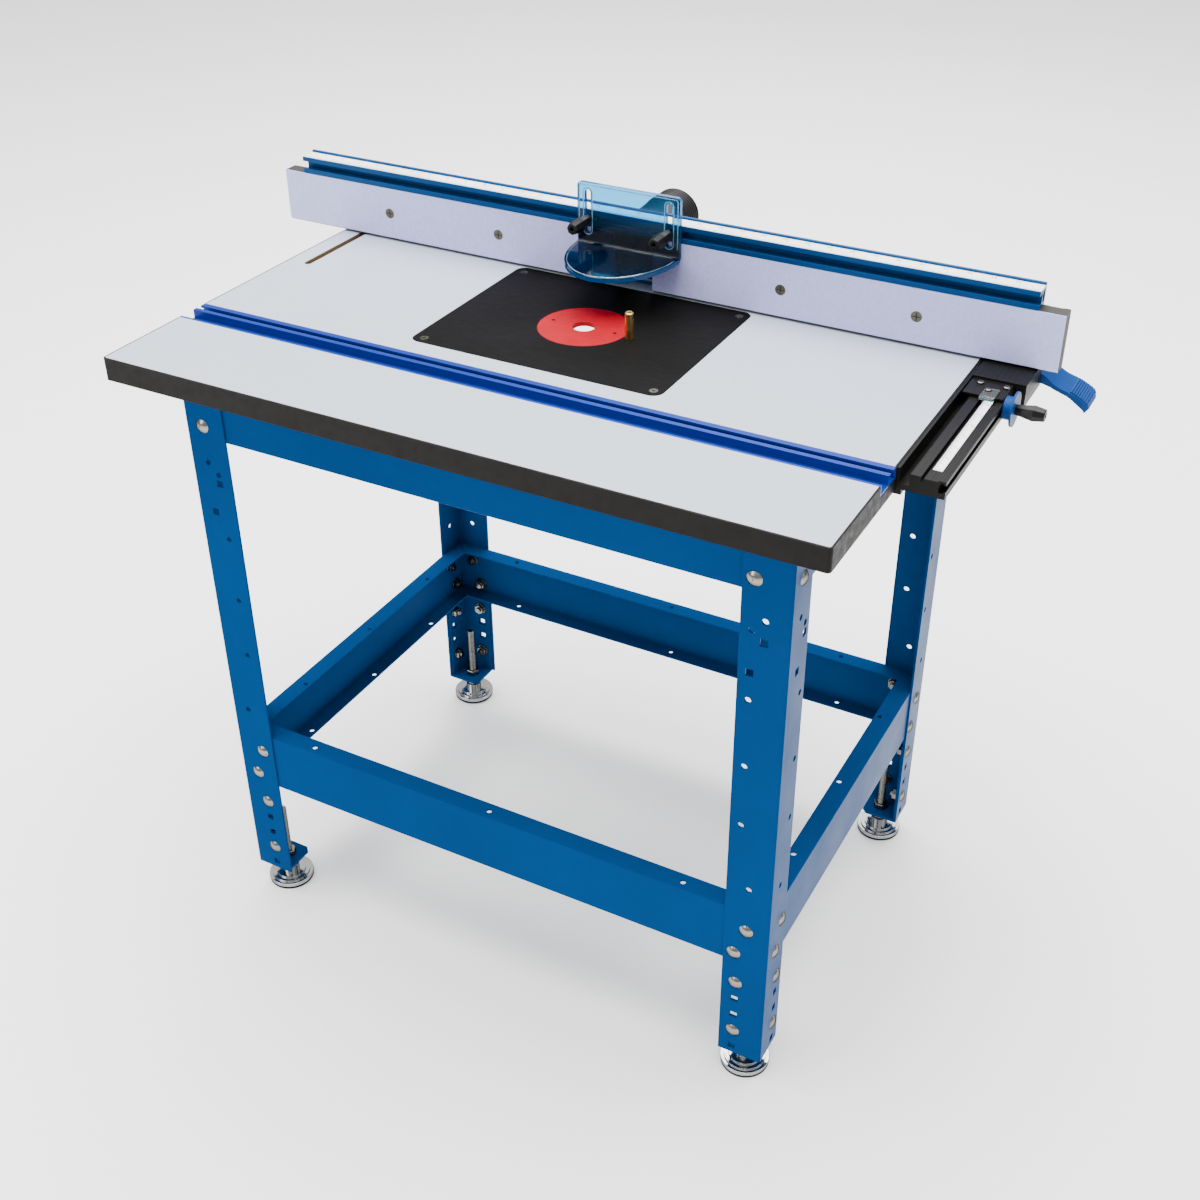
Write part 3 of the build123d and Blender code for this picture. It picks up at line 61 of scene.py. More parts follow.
class Finish:
    """A procedural material built step by step around one Principled shader."""

    def __init__(self, name, rough=0.5, metal=0.0, spec=0.5):
        self.mat = bpy.data.materials.new(name)
        self.mat.use_nodes = True
        self.tree = self.mat.node_tree
        self.bsdf = self.tree.nodes["Principled BSDF"]
        self.bsdf.inputs["Roughness"].default_value = rough
        self.bsdf.inputs["Metallic"].default_value = metal
        self.bsdf.inputs["Specular IOR Level"].default_value = spec
        self.place = self.add("ShaderNodeTexCoord").outputs["Object"]
        self.normal = None

    def add(self, kind, **inputs):
        node = self.tree.nodes.new(kind)
        for key, value in inputs.items():
            self.put(node.inputs[key.replace("_", " ")], value)
        return node

    def put(self, socket, value):
        if isinstance(value, bpy.types.NodeSocket):
            self.tree.links.new(value, socket)
        else:
            socket.default_value = value

    def stretch(self, x, y, z):
        node = self.add("ShaderNodeMapping", Vector=self.place)
        node.inputs["Scale"].default_value = (x, y, z)
        return node.outputs["Vector"]

    def noise(self, scale, detail=3.0, rough=0.55, vector=None):
        place = vector or self.place
        node = self.add("ShaderNodeTexNoise", Vector=place, Scale=scale, Detail=detail, Roughness=rough)
        return node.outputs["Fac"]

    def cells(self, scale):
        node = self.add("ShaderNodeTexVoronoi", Vector=self.place, Scale=scale)
        return node.outputs["Distance"]

    def calc(self, kind, a, b=0.0, clamp=False):
        node = self.tree.nodes.new("ShaderNodeMath")
        node.operation = kind
        node.use_clamp = clamp
        self.put(node.inputs[0], a)
        self.put(node.inputs[1], b)
        return node.outputs[0]

    def ramp(self, value, low, high, out_low=0.0, out_high=1.0):
        node = self.add("ShaderNodeMapRange", Value=value)
        for key, v in zip(("From Min", "From Max", "To Min", "To Max"), (low, high, out_low, out_high)):
            node.inputs[key].default_value = v
        return node.outputs["Result"]

    def mix(self, factor, a, b):
        node = self.tree.nodes.new("ShaderNodeMix")
        node.data_type = "RGBA"
        self.put(node.inputs[0], factor)
        self.put(node.inputs[6], a)
        self.put(node.inputs[7], b)
        return node.outputs[2]

    def axis(self, letter):
        node = self.add("ShaderNodeSeparateXYZ", Vector=self.place)
        return node.outputs[letter]

    def facing(self, letter):
        """Absolute part of the surface normal along an axis of the object."""
        geo = self.add("ShaderNodeNewGeometry").outputs["Normal"]
        turned = self.tree.nodes.new("ShaderNodeVectorTransform")
        turned.vector_type = "NORMAL"
        turned.convert_from = "WORLD"
        turned.convert_to = "OBJECT"
        self.put(turned.inputs[0], geo)
        part = self.add("ShaderNodeSeparateXYZ", Vector=turned.outputs[0])
        return self.calc("ABSOLUTE", part.outputs[letter])

    def rounded(self, radius):
        """Soft edge highlights: the shading normal is rounded over this radius."""
        node = self.add("ShaderNodeBevel")
        node.samples = 4
        node.inputs["Radius"].default_value = radius
        self.normal = node.outputs["Normal"]

    def edges(self, radius):
        """1 along sharp edges, 0 elsewhere, broken up by noise."""
        node = self.add("ShaderNodeBevel")
        node.samples = 4
        node.inputs["Radius"].default_value = radius
        geo = self.add("ShaderNodeNewGeometry")
        dot = self.tree.nodes.new("ShaderNodeVectorMath")
        dot.operation = "DOT_PRODUCT"
        self.put(dot.inputs[0], node.outputs["Normal"])
        self.put(dot.inputs[1], geo.outputs["Normal"])
        sharp = self.ramp(dot.outputs["Value"], 0.995, 0.86)
        patchy = self.ramp(self.noise(60.0, 4.0), 0.38, 0.62)
        return self.calc("MULTIPLY", sharp, patchy, clamp=True)

    def slanting(self, key, straight, grazing):
        """Drive an input from its value seen straight on to its value seen at a grazing angle."""
        slant = self.add("ShaderNodeLayerWeight", Blend=0.5).outputs["Facing"]
        self.set(key, self.ramp(slant, 0.45, 0.95, straight, grazing))

    def bump(self, height, strength, distance):
        node = self.add("ShaderNodeBump", Strength=strength, Distance=distance, Height=height)
        if self.normal is not None:
            self.put(node.inputs["Normal"], self.normal)
        self.normal = node.outputs["Normal"]

    def colour(self, value):
        self.put(self.bsdf.inputs["Base Color"], value)

    def set(self, key, value):
        self.put(self.bsdf.inputs[key], value)

    def done(self):
        if self.normal is not None:
            self.put(self.bsdf.inputs["Normal"], self.normal)
        return self.mat


def tone(colour, gain):
    """A colour made lighter or darker by a factor."""
    return (*(min(1.0, c * gain) for c in colour[:3]), 1.0)


# ---------------------------------------------------------------- materials


def powder_coat(name, colour, worn):
    """Powder-coated steel: faint orange peel, uneven gloss, a pale bloom at a slant, and worn edges."""
    f = Finish(name, 0.45)
    f.rounded(0.0008)
    cloudy = f.ramp(f.noise(5.0, 4.0), 0.3, 0.7)
    base = f.mix(cloudy, tone(colour, 0.92), tone(colour, 1.06))
    dusty = f.ramp(f.noise(38.0, 5.0, 0.65), 0.6, 0.85, 0.0, 0.06)
    base = f.mix(dusty, base, worn)
    f.colour(f.mix(f.calc("MULTIPLY", f.edges(0.0012), 0.4), base, worn))
    f.set("Roughness", f.ramp(f.noise(14.0, 4.0), 0.3, 0.7, 0.38, 0.5))
    f.slanting("Specular IOR Level", 0.0, 0.15)
    f.slanting("Sheen Weight", 0.0, 0.07)
    f.set("Sheen Roughness", 0.5)
    f.set("Sheen Tint", srgb(206, 204, 200))
    f.bump(f.noise(1100.0, 2.0), 0.10, 0.0004)
    return f.done()


def plated(name, colour, rough, thread=0.0):
    """Zinc or chrome plate with fine brushing, and a thread along Z where a pitch is given."""
    f = Finish(name, rough, 1.0)
    f.rounded(0.0004)
    f.set("Specular Tint", tone(colour, 0.25))
    stain = f.ramp(f.noise(40.0, 3.0), 0.35, 0.8)
    f.colour(f.mix(stain, colour, tone(colour, 0.82)))
    f.set("Roughness", f.ramp(f.noise(240.0, 3.0), 0.3, 0.7, rough * 0.75, rough * 1.35))
    f.bump(f.noise(1600.0, 2.0), 0.06, 0.0002)
    if thread:
        turns = f.calc("MULTIPLY", f.axis("Z"), 2 * math.pi / thread)
        f.bump(f.calc("SINE", turns), 0.7, 0.0004)
    return f.done()


def anodised(name, colour, along, rough=0.34, metal=0.75):
    """Extruded aluminium: die lines along one axis, a dyed film, and a painted highlight along the edges."""
    f = Finish(name, rough, metal, 0.12)
    f.rounded(0.0005)
    scale = [900.0, 900.0, 900.0]
    scale["XYZ".index(along)] = 3.0
    lines = f.noise(1.0, 3.0, 0.6, f.stretch(*scale))
    base = f.mix(f.ramp(lines, 0.35, 0.65), tone(colour, 0.88), tone(colour, 1.12))
    base = f.mix(f.ramp(f.noise(7.0, 3.0), 0.35, 0.75, 0.0, 0.25), base, tone(colour, 0.8))
    # Painted highlight: edges lightened in patches toward a brighter copy of the dye colour.
    f.colour(f.mix(f.calc("MULTIPLY", f.edges(0.0007), 0.5), base, tone(colour, 3.0)))
    f.set("Roughness", f.ramp(lines, 0.3, 0.7, rough * 0.8, rough * 1.25))
    f.bump(lines, 0.12, 0.0003)
    return f.done()


def moulded(name, colour, rough, grain=700.0, gloss=0.3):
    """Moulded plastic with a fine texture, uneven sheen, and lighter rubbed edges."""
    f = Finish(name, rough, 0.0, gloss)
    f.rounded(0.0007)
    shade = f.ramp(f.noise(30.0, 4.0), 0.3, 0.7)
    base = f.mix(shade, tone(colour, 0.88), tone(colour, 1.12))
    pale = tuple(c + 0.05 for c in colour[:3]) + (1.0,)
    f.colour(f.mix(f.calc("MULTIPLY", f.edges(0.0009), 0.6), base, pale))
    f.set("Roughness", f.ramp(f.noise(120.0, 3.0), 0.3, 0.7, rough * 0.85, rough * 1.2))
    f.bump(f.noise(grain, 2.0), 0.12, 0.0003)
    return f.done()


def laminate(name, colour):
    """High-pressure laminate with a pebbled surface and faint mottling."""
    f = Finish(name, 0.5, 0.0, 0.4)
    mottled = f.ramp(f.noise(260.0, 4.0, 0.7), 0.35, 0.65)
    base = f.mix(mottled, tone(colour, 0.965), tone(colour, 1.02))
    rubbed = f.ramp(f.noise(3.5, 4.0), 0.42, 0.75, 0.0, 0.5)
    base = f.mix(rubbed, base, tone(colour, 0.96))
    flecks = f.ramp(f.noise(1500.0, 1.0), 0.68, 0.74, 0.0, 0.12)
    f.colour(f.mix(flecks, base, tone(colour, 0.55)))
    f.set("Roughness", f.ramp(f.noise(9.0, 3.0), 0.35, 0.7, 0.42, 0.56))
    f.bump(f.cells(620.0), 0.16, 0.0003)
    return f.done()


def fibreboard(name):
    """Pale fibreboard with short fibres and darker specks."""
    f = Finish(name, 0.85, 0.0, 0.2)
    fibres = f.noise(1.0, 4.0, 0.7, f.stretch(500.0, 500.0, 1400.0))
    base = f.mix(f.ramp(fibres, 0.3, 0.7), srgb(84, 62, 36), srgb(124, 98, 64))
    f.colour(f.mix(f.ramp(f.noise(900.0), 0.62, 0.7, 0.0, 0.4), base, srgb(58, 42, 26)))
    f.bump(fibres, 0.4, 0.0004)
    return f.done()


def facing_board(name, front_y):
    """Board faced with laminate: the sheet in front, a dark glue line, and near-black board behind."""
    f = Finish(name, 0.5, 0.0, 0.4)
    depth = f.calc("SUBTRACT", f.axis("Y"), front_y)
    mottled = f.ramp(f.noise(260.0, 4.0, 0.7), 0.35, 0.65)
    sheet = f.mix(mottled, srgb(170, 173, 222), srgb(184, 187, 230))
    sheet = f.mix(f.ramp(f.noise(3.0, 4.0), 0.4, 0.75, 0.0, 0.5), sheet, srgb(166, 170, 212))
    fibres = f.noise(1.0, 4.0, 0.7, f.stretch(40.0, 900.0, 900.0))
    board = f.mix(f.ramp(fibres, 0.3, 0.7), srgb(22, 19, 16), srgb(38, 34, 29))
    sheet_t, glue_t = 0.0009, 0.0005
    behind = f.calc("GREATER_THAN", depth, sheet_t)
    off_glue = f.calc("ABSOLUTE", f.calc("SUBTRACT", depth, sheet_t + 0.0002))
    glue = f.calc("LESS_THAN", off_glue, glue_t / 2)
    base = f.mix(behind, sheet, board)
    f.colour(f.mix(glue, base, srgb(34, 30, 28)))
    f.set("Roughness", f.ramp(behind, 0.0, 1.0, 0.46, 0.62))
    f.bump(f.cells(620.0), 0.14, 0.0003)
    return f.done()


def phenolic(name):
    """Near-black phenolic sheet: matte, with a fine peel and faint scuffs from work sliding over it."""
    f = Finish(name, 0.52, 0.0, 0.04)
    f.rounded(0.0005)
    cloud = f.ramp(f.noise(11.0, 4.0), 0.3, 0.7)
    base = f.mix(cloud, srgb(6, 5, 4), srgb(11, 10, 9))
    scuffs = f.noise(1.0, 5.0, 0.7, f.stretch(60.0, 700.0, 60.0))
    base = f.mix(f.ramp(scuffs, 0.6, 0.78, 0.0, 0.10), base, srgb(70, 68, 66))
    f.colour(f.mix(f.calc("MULTIPLY", f.edges(0.0008), 0.4), base, srgb(84, 80, 76)))
    f.set("Roughness", f.ramp(scuffs, 0.35, 0.75, 0.44, 0.62))
    f.bump(f.noise(1200.0, 2.0), 0.12, 0.0003)
    return f.done()


def turned(name, colour, centre, rough, metal):
    """Turned metal or anodised disc with concentric tool marks around a centre."""
    f = Finish(name, rough, metal, 0.08)
    f.rounded(0.0005)
    shifted = f.add("ShaderNodeMapping", Vector=f.place)
    shifted.inputs["Location"].default_value = (-centre[0], -centre[1], 0)
    part = f.add("ShaderNodeSeparateXYZ", Vector=shifted.outputs["Vector"])
    square = f.calc("ADD", f.calc("POWER", part.outputs["X"], 2.0), f.calc("POWER", part.outputs["Y"], 2.0))
    radius = f.calc("SQRT", square)
    rings = f.calc("SINE", f.calc("MULTIPLY", radius, 2 * math.pi / 0.0006))
    uneven = f.ramp(f.noise(50.0, 4.0), 0.3, 0.7)
    f.colour(f.mix(uneven, tone(colour, 0.9), tone(colour, 1.08)))
    f.set("Roughness", f.ramp(f.noise(140.0), 0.3, 0.7, rough * 0.8, rough * 1.2))
    f.bump(rings, 0.05, 0.0002)
    return f.done()


def rubber(name):
    """Black rubber: dull, with a dusty mottling and a coarse moulded texture."""
    f = Finish(name, 0.85, 0.0, 0.2)
    f.rounded(0.0006)
    f.colour(f.mix(f.ramp(f.noise(160.0, 4.0), 0.35, 0.7), srgb(18, 18, 18), srgb(36, 35, 34)))
    f.bump(f.noise(500.0, 2.0), 0.2, 0.0003)
    return f.done()


def clear_plastic(name, tint, edge, sides, bend=1.3, painted_shade_tint=None, fade=None):
    """Clear tinted sheet with deeper cut edges; where a shade tint is given, the tint darkens downwards
    between two heights as painted shade.
    """
    f = Finish(name, 0.04, 0.0, 0.5)
    rim = sides(f)
    # Painted shade: the tint darkens towards the bottom between the two heights.
    if painted_shade_tint:
        tint = f.mix(f.ramp(f.axis("Z"), *fade), painted_shade_tint, tint)
    f.colour(f.mix(rim, tint, edge))
    f.set("Transmission Weight", f.ramp(rim, 0.0, 1.0, 0.96, 0.55))
    f.set("IOR", bend)
    scratches = f.noise(1.0, 5.0, 0.7, f.stretch(500.0, 40.0, 500.0))
    f.set("Roughness", f.ramp(scratches, 0.45, 0.8, 0.02, 0.16))
    f.bump(scratches, 0.03, 0.0002)
    return f.done()


def guard_rim(f):
    """The guard's cut edges: its ends, its top, and the curved rim of the shelf."""
    shelf_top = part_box("bit_guard")[0].z + 0.0055
    bend = 0.008
    shelf = f.calc("LESS_THAN", f.axis("Z"), shelf_top)
    rim = f.calc("MULTIPLY", shelf, f.calc("LESS_THAN", f.facing("Z"), 0.35))
    upright = f.calc("MULTIPLY", f.calc("SUBTRACT", 1.0, shelf), f.calc("LESS_THAN", f.facing("Y"), 0.35))
    flat = f.calc("LESS_THAN", f.axis("Z"), shelf_top + bend)
    upright = f.calc("MULTIPLY", upright, f.calc("SUBTRACT", 1.0, flat))
    return f.calc("ADD", rim, upright, clamp=True)


def lens_rim(f):
    """The upright faces of a flat sheet."""
    return f.calc("LESS_THAN", f.facing("Z"), 0.4)


stand_blue = srgb(0, 56, 106)
pin_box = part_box("starter_pin")
pin_centre = ((pin_box[0].x + pin_box[1].x) / 2, (pin_box[0].y + pin_box[1].y) / 2)
face_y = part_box("facing_left")[0].y
rim_tint = srgb(120, 192, 226)

looks = {
    "painted_steel": powder_coat("powder_coat_blue", stand_blue, srgb(20, 90, 145)),
    "zinc": plated("zinc_plate", srgb(132, 130, 124), 0.22),
    "dark_steel": plated("black_oxide", srgb(62, 60, 58), 0.4),
    "chrome": plated("chrome", srgb(176, 177, 178), 0.1),
    "rubber": rubber("rubber_black"),
    "fibreboard": fibreboard("fibreboard"),
    "laminate": laminate("laminate_grey", srgb(158, 166, 178)),
    "edge_band": moulded("edge_band_dark", srgb(17, 15, 12), 0.5, 1200.0, 0.10),
    "blue_aluminium": anodised("anodised_blue", srgb(8, 42, 126), "X", 0.3, 0.3),
    "black_aluminium": anodised("anodised_black", srgb(9, 8, 6), "Y", 0.42, 0.05),
    "phenolic": phenolic("phenolic_black"),
    "red_ring": turned("ring_red", srgb(136, 0, 18), (mid_x, 0.0), 0.5, 0.0),
    "brass": turned("brass_turned", srgb(196, 160, 92), pin_centre, 0.3, 1.0),
    "scale_white": moulded("scale_white", srgb(232, 233, 230), 0.45, 900.0),
    "blue_plastic": moulded("plastic_blue", srgb(0, 50, 108), 0.36, 500.0, 0.08),
    "black_plastic": moulded("plastic_black", srgb(8, 7, 6), 0.36, 600.0, 0.2),
    "dark_plastic": moulded("plastic_dark", srgb(20, 18, 17), 0.45, 600.0, 0.2),
    # The guard's tint darkens over its lower part: painted shade.
    "clear_plastic": clear_plastic(
        "clear_guard", srgb(72, 168, 220), srgb(6, 84, 146), guard_rim, 1.3,
        srgb(8, 54, 88), (top_z + 0.062, top_z + 0.082)),
    "guard_outline": clear_plastic("clear_outline", rim_tint, rim_tint, lens_rim),
    "facing_board": facing_board("facing_board", face_y),
}


def finish_node(name, material):
    """Give one CAD node its finish."""
    obj = nodes[name]
    if not obj.material_slots:
        obj.data.materials.append(material)
    for slot in obj.material_slots:
        slot.material = material


for part in frame["record"]["subparts"]:
    finish_node(part["node"], looks[part["material_slot"]])

thread_zinc = plated("zinc_thread", srgb(140, 138, 132), 0.3, 0.0015875)
for name in nodes:
    if name.startswith("levelling_stem"):
        finish_node(name, thread_zinc)
finish_node("fence_extrusion", anodised("anodised_steel_blue", srgb(0, 56, 104), "X", 0.34, 0.3))
bronzed = plated("bronzed_steel", srgb(104, 98, 80), 0.34)
finish_node("facing_screws_left", bronzed)
finish_node("facing_screws_right", bronzed)
clear_lens = clear_plastic("clear_lens", srgb(250, 253, 255), srgb(96, 128, 140), lens_rim, 1.1)
finish_node("cursor_lens", clear_lens)


# ---------------------------------------------------------------- mesh helpers


def piece(name, verts, faces, material, body):
    """A new mesh piece in the row frame that rides on a body."""
    mesh = bpy.data.meshes.new(name)
    mesh.from_pydata([tuple(v) for v in verts], [], faces)
    mesh.validate()
    mesh.update()
    obj = bpy.data.objects.new(name, mesh)
    bpy.context.scene.collection.objects.link(obj)
    mesh.materials.append(material)
    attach(obj, body)
    return obj


def skin(rings, around, closed=True):
    """Faces between neighbouring rings of points, each ring closed round itself."""
    faces = []
    for i in range(rings if closed else rings - 1):
        j = (i + 1) % rings
        for k in range(around):
            n = (k + 1) % around
            faces.append((i * around + k, i * around + n, j * around + n, j * around + k))
    return faces


def smooth(obj):
    """Shade a piece smooth."""
    for polygon in obj.data.polygons:
        polygon.use_smooth = True


def add_slab(verts, faces, x0, x1, y0, y1, z0, z1):
    """Append one thin box, such as a printed mark."""
    base = len(verts)
    verts += [(x, y, z) for z in (z0, z1) for x, y in ((x0, y0), (x1, y0), (x1, y1), (x0, y1))]
    faces += [tuple(base + i for i in f) for f in (
        (0, 3, 2, 1), (4, 5, 6, 7), (0, 1, 5, 4), (1, 2, 6, 5), (2, 3, 7, 6), (3, 0, 4, 7))]


def add_digits(verts, faces, label, size, spot, turn, lift):
    """Append a number's outline as flat printed faces."""
    curve = bpy.data.curves.new("digits", "FONT")
    curve.body = label
    curve.size = size
    curve.align_x = "CENTER"
    curve.align_y = "CENTER"
    curve.resolution_u = 2
    holder = bpy.data.objects.new("digits", curve)
    mesh = bpy.data.meshes.new_from_object(holder)
    base = len(verts)
    spin = Matrix.Rotation(turn, 3, "Z")
    verts += [tuple(spin @ v.co + Vector((spot[0], spot[1], lift))) for v in mesh.vertices]
    faces += [tuple(base + i for i in p.vertices) for p in mesh.polygons]
    bpy.data.objects.remove(holder)
    bpy.data.curves.remove(curve)
    bpy.data.meshes.remove(mesh)


# Black ink for the printed marks, also used as painted shade in the screws' cross recesses.
print_ink_and_shade = moulded("ink_black", srgb(26, 26, 28), 0.5, 900.0)
inch = 0.0254


def print_scale(name, node, body, along, number_size, bold=1.0):
    """Graduations in sixteenths and inch numbers on a scale strip that runs along an axis."""
    low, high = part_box(node)
    verts, faces = [], []
    surface, ink_depth, ink_proud = high.z, 0.0001, 0.00004
    end_gap, edge_gap = 0.002, 0.0003
    across = 1 - along
    start, end = low[along] + end_gap, high[along] - end_gap
    width = high[across] - low[across]
    mark_lengths = {16: 0.62, 8: 0.45, 4: 0.34, 2: 0.25, 1: 0.17}
    count = int((end - start) / (inch / 16))
    for step in range(count + 1):
        unit = next(u for u in mark_lengths if step % u == 0)
        at = start + step * inch / 16
        half = bold * (0.00016 if unit > 2 else 0.00011)
        edge = low[across] + edge_gap
        spans = [(at - half, at + half), (edge, edge + width * mark_lengths[unit])]
        spot = [at - number_size * 0.62, low[across] + width * 0.74]
        if along == 1:
            spans.reverse()
            spot.reverse()
        add_slab(verts, faces, *spans[0], *spans[1], surface - ink_depth, surface + ink_proud)
        if unit == 16 and step:
            turn = math.pi / 2 * along
            add_digits(verts, faces, str(step // 16), number_size, spot, turn, surface + 0.00005)
    piece(name, verts, faces, print_ink_and_shade, body)


print_scale("fence_scale_marks", "fence_scale", "fence", 0, 0.0062)
print_scale("rail_scale_marks", "guide_rail_scale", "stand", 1, 0.0048, 2.0)


# ---------------------------------------------------------------- details


def lathe(name, profile, centre, axis, material, body, steps=72):
    """A closed ring swept round an axis from (distance along, radius) points."""
    verts = []
    for i in range(steps):
        a = 2 * math.pi * i / steps
        for along, radius in profile:
            u, v = radius * math.cos(a), radius * math.sin(a)
            offset = (u, along, v) if axis == "Y" else (u, v, along)
            verts.append(tuple(c + o for c, o in zip(centre, offset)))
    smooth(piece(name, verts, skin(steps, len(profile)), material, body))


def rounded_rib(start, width, inner, height, points=8):
    """Half-round rib section as (distance along, radius) points, sunk a little into its wall."""
    root = inner - 0.0003
    crown = []
    for i in range(points + 1):
        a = math.pi * i / points
        crown.append((start + width / 2 - width / 2 * math.cos(a), inner + height * math.sin(a)))
    return crown + [(start + width, root), (start, root)]


def bead(name, path, half_width, proud, material, body, slot, closed=True, sides=8):
    """A thin bead along a path of points that all lie in one flat plane, standing proud of that plane."""
    verts = []
    count = len(path)
    flat = (path[1] - path[0]).cross(path[count // 2] - path[0]).normalized()
    for i, point in enumerate(path):
        back = path[i - 1] if closed or i else path[0]
        ahead = path[(i + 1) % count] if closed or i < count - 1 else path[-1]
        out = (ahead - back).cross(flat).normalized()
        for k in range(sides):
            a = 2 * math.pi * k / sides
            verts.append(point + half_width * math.cos(a) * out + proud * math.sin(a) * flat)
    faces = skin(count, sides, closed)
    if not closed:
        faces += [tuple(reversed(range(sides))), tuple(range(len(verts) - sides, len(verts)))]
    smooth(piece(name, verts, faces, material, body))


def arc(centre, reach, start, stop, steps, axes):
    """Points along an ellipse round a centre, from start to stop degrees, in the plane of two axes."""
    points = []
    for i in range(steps + 1):
        a = math.radians(start + (stop - start) * i / steps)
        point = Vector(centre)
        point[axes[0]] += reach[0] * math.cos(a)
        point[axes[1]] += reach[1] * math.sin(a)
        points.append(point)
    return points


def guard_outlines():
    """Moulded rims of the clear guard: round the plate, round both slots, and along the shelf's edge."""
    low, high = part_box("bit_guard")
    sheet_t, half_width = 0.005, 0.0006
    face = high.y - sheet_t
    middle = (low.x + high.x) / 2
    style = (looks["guard_outline"], "bit_guard", "clear_plastic")

    slot_x, slot_r = 0.0508, (0.0056, 0.0056)
    slot_ends = (high.z - 0.0112, high.z - 0.0538)
    under_knob = 0.00005
    for side, x in (("left", middle - slot_x), ("right", middle + slot_x)):
        loop = arc((x, face, slot_ends[0]), slot_r, 0, 180, 12, (0, 2))
        loop += arc((x, face, slot_ends[1]), slot_r, 180, 360, 12, (0, 2))
        bead(f"guard_slot_rim_{side}", loop, half_width, under_knob, *style)

    inset, corner = 0.0024, 0.003
    foot, rise_height = low.z + 0.012, 0.05
    rise = [Vector((low.x + inset, face, foot + rise_height * i / 6)) for i in range(7)]
    turn = (low.x + inset + corner, face, high.z - inset - corner)
    rise += arc(turn, (corner, corner), 180, 90, 5, (0, 2))
    fall = [Vector((2 * middle - p.x, p.y, p.z)) for p in reversed(rise)]
    bead("guard_plate_rim", rise + fall, half_width, half_width, *style, closed=False)

    shelf_inset = 0.003
    reach = ((high.x - low.x) / 2 - shelf_inset, face - low.y - shelf_inset)
    edge = arc((middle, face, low.z + sheet_t), reach, 184, 356, 48, (0, 1))
    bead("guard_shelf_rim", edge, half_width, half_width, *style, closed=False)


def port_ribs():
    """Ribs round the dust port's outlet."""
    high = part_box("dust_port")[1]
    port_r, pitch = 0.029, 0.0046
    centre = (mid_x, high.y, high.z - port_r)
    for i in range(7):
        section = rounded_rib(-0.0035 - pitch * i, 0.0026, port_r, 0.0008)
        lathe(f"dust_port_rib_{i}", section, centre, "Y", looks["dark_plastic"], "fence")


def cup_beads():
    """A rolled bead on each foot's metal cup."""
    section = rounded_rib(0.0060, 0.0024, 0.0280, 0.0008)
    for name in nodes:
        if name.startswith("foot_cup_"):
            low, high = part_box(name)
            centre = ((low.x + high.x) / 2, (low.y + high.y) / 2, 0.0)
            body = name.replace("_cup", "")
            lathe(f"{name}_bead", section, centre, "Z", looks["chrome"], body)


def add_cross_shade(verts, faces, centre, arm, flat):
    """Append the painted shade of a cross recess: two thin dark bars on a screw head that faces along the
    flat axis.
    """
    for long in {0, 1, 2} - {flat}:
        half = [0.00045] * 3
        half[long] = arm
        half[flat] = 0.0001
        low, high = ([c + sign * h for c, h in zip(centre, half)] for sign in (-1, 1))
        add_slab(verts, faces, low[0], high[0], low[1], high[1], low[2], high[2])


def recess_shade_marks(name, centres, arm, flat, body):
    """Painted shade of cross recesses: dark bars on a row of screw heads."""
    verts, faces = [], []
    for centre in centres:
        add_cross_shade(verts, faces, centre, arm, flat)
    piece(name, verts, faces, print_ink_and_shade, body)


def screw_recess_shade():
    """Painted shade in the cross recesses of the track's, the plate's and the facings' screws."""
    low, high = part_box("mitre_track")
    wall, mitre_slot, floor_depth, pitch = 0.0032, 0.01905, 0.0096, 0.19
    y, z = low.y + wall + mitre_slot / 2, high.z - floor_depth
    points = [(mid_x + pitch * k, y, z) for k in (-2, -1, 0, 1, 2)]
    recess_shade_marks("track_screw_recesses", points, 0.0021, 2, "stand")

    low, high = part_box("insert_plate_screws")
    head = 0.0048
    points = [(x, y, high.z) for x in (low.x + head, high.x - head) for y in (low.y + head, high.y - head)]
    recess_shade_marks("plate_screw_recesses", points, 0.0028, 2, "stand")

    for side in ("left", "right"):
        low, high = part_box(f"facing_screws_{side}")
        head = (high.z - low.z) / 2
        points = [(x, low.y, (low.z + high.z) / 2) for x in (low.x + head, high.x - head)]
        recess_shade_marks(f"facing_screw_recess_shade_{side}", points, 0.6 * head, 1, f"facing_{side}")


def cursor_hairline():
    """The red reading line under the cursor's lens."""
    low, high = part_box("cursor_lens")
    line_y, half, inset = 0.034, 0.00015, 0.0006
    spans = (low.x + inset, high.x - inset), (line_y - half, line_y + half), (low.z - 0.0001, low.z + 0.0002)
    verts, faces = [], []
    add_slab(verts, faces, *spans[0], *spans[1], *spans[2])
    piece("cursor_hairline", verts, faces, looks["red_ring"], "fence")


guard_outlines()
port_ribs()
cup_beads()
screw_recess_shade()
cursor_hairline()


# ---------------------------------------------------------------- stage, light, camera


def stage_floor():
    """A plain pale floor under the stand."""
    mesh = bpy.data.meshes.new("floor")
    size = 14.0
    corners = [(-size, -size, 0), (size, -size, 0), (size, size, 0), (-size, size, 0)]
    mesh.from_pydata(corners, [], [(0, 1, 2, 3)])
    floor = bpy.data.objects.new("floor", mesh)
    bpy.context.scene.collection.objects.link(floor)
    f = Finish("floor_pale", 0.9, 0.0, 0.1)
    f.colour(f.mix(f.noise(2.0, 2.0), srgb(243, 243, 243), srgb(247, 247, 247)))
    mesh.materials.append(f.done())


def area_light(name, spot, target, size, power):
    """A soft square light aimed at a point."""
    data = bpy.data.lights.new(name, "AREA")
    data.shape = "SQUARE"
    data.size = size
    data.energy = power
    light = bpy.data.objects.new(name, data)
    light.location = spot
    light.rotation_euler = (Vector(target) - Vector(spot)).to_track_quat("-Z", "Y").to_euler()
    bpy.context.scene.collection.objects.link(light)


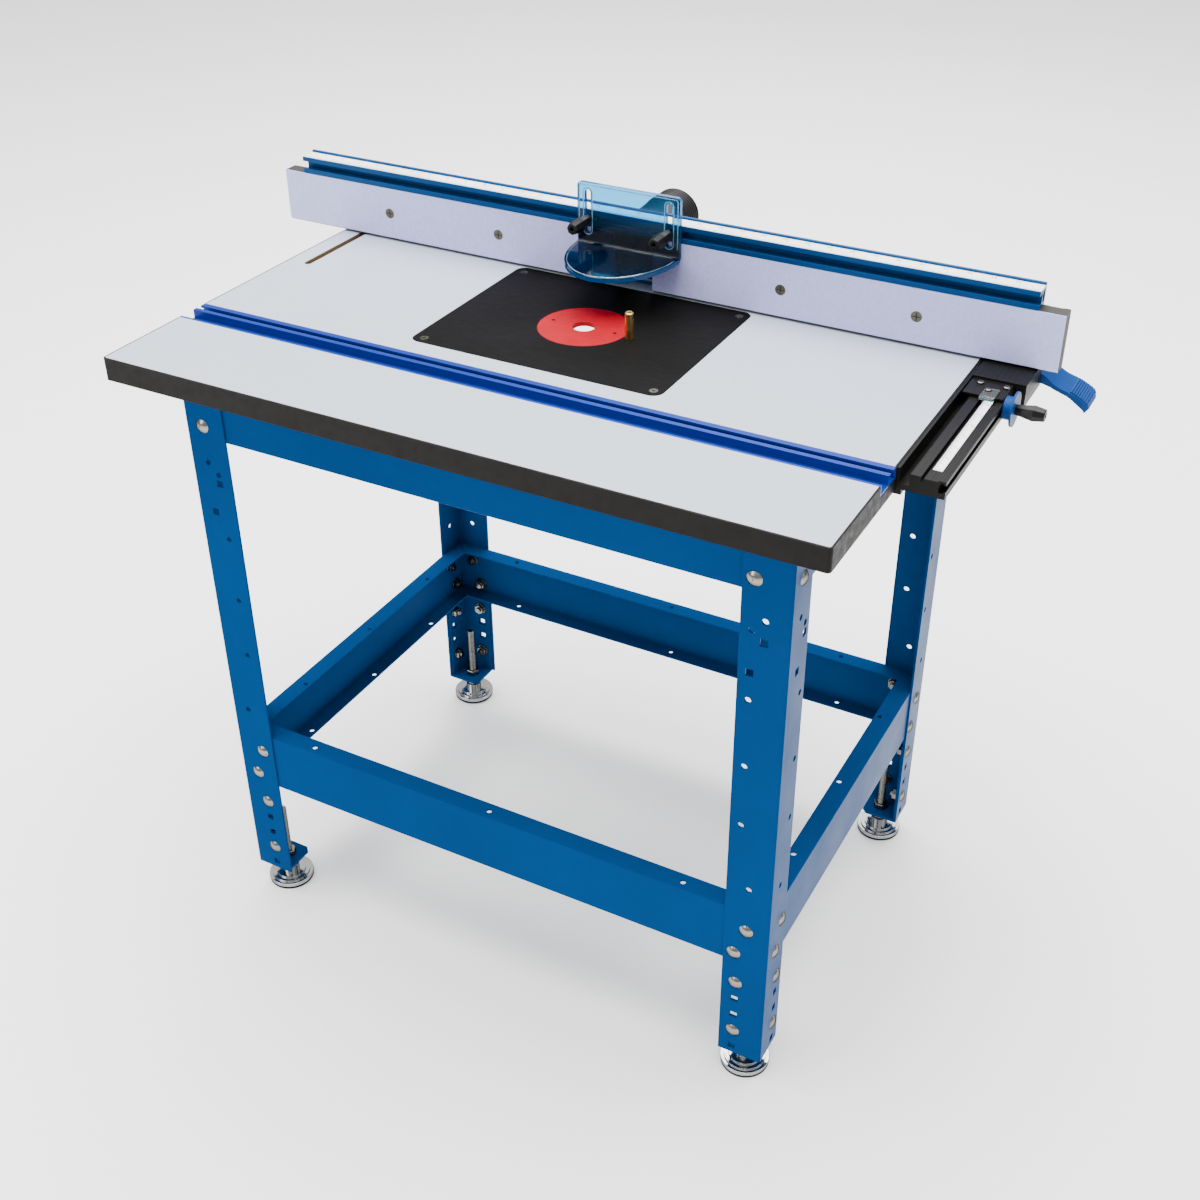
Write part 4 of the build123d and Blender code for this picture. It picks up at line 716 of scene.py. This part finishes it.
def studio_world():
    """White surroundings that brighten from the horizon upwards."""
    world = bpy.data.worlds.new("studio")
    bpy.context.scene.world = world
    world.use_nodes = True
    sky, links = world.node_tree.nodes, world.node_tree.links
    place = sky.new("ShaderNodeTexCoord")
    height = sky.new("ShaderNodeSeparateXYZ")
    fade = sky.new("ShaderNodeMapRange")
    for key, value in zip(("From Min", "From Max", "To Min", "To Max"), (0.05, 0.75, 0.42, 1.48)):
        fade.inputs[key].default_value = value
    sky["Background"].inputs["Color"].default_value = (1.0, 1.0, 1.0, 1.0)
    links.new(place.outputs["Generated"], height.inputs["Vector"])
    links.new(height.outputs["Z"], fade.inputs["Value"])
    links.new(fade.outputs["Result"], sky["Background"].inputs["Strength"])


def photo_camera():
    """The camera at the photograph's place, solved on the corners of the table top."""
    azimuth, elevation = math.radians(27.877), math.radians(33.188)
    right = Vector((math.cos(azimuth), math.sin(azimuth), 0.0))
    level = Vector((-math.sin(azimuth), math.cos(azimuth), 0.0))
    forward = math.cos(elevation) * level - Vector((0.0, 0.0, math.sin(elevation)))
    up = right.cross(forward)
    eye = Vector((mid_x + 0.7693, -1.3768, top_z + 0.6915))

    data = bpy.data.cameras.new("camera")
    data.sensor_width = 36.0
    data.lens = 46.91
    data.shift_x = -0.0145
    data.shift_y = -0.00975
    camera = bpy.data.objects.new("camera", data)
    camera.matrix_world = Matrix((
        (right.x, up.x, -forward.x, eye.x),
        (right.y, up.y, -forward.y, eye.y),
        (right.z, up.z, -forward.z, eye.z),
        (0.0, 0.0, 0.0, 1.0),
    ))
    bpy.context.scene.collection.objects.link(camera)
    bpy.context.scene.camera = camera


stage_floor()
area_light("top", (-0.2, 0.3, 4.2), (0.0, 0.2, 0.3), 4.5, 680.0)
area_light("key", (-2.2, -3.6, 2.6), (0.0, 0.0, 0.4), 2.0, 70.0)
area_light("side", (3.6, -0.2, 1.6), (0.0, 0.0, 0.4), 2.4, 12.0)
area_light("rear", (-0.8, 3.4, 2.4), (0.0, 0.0, 0.5), 2.0, 30.0)
studio_world()
photo_camera()
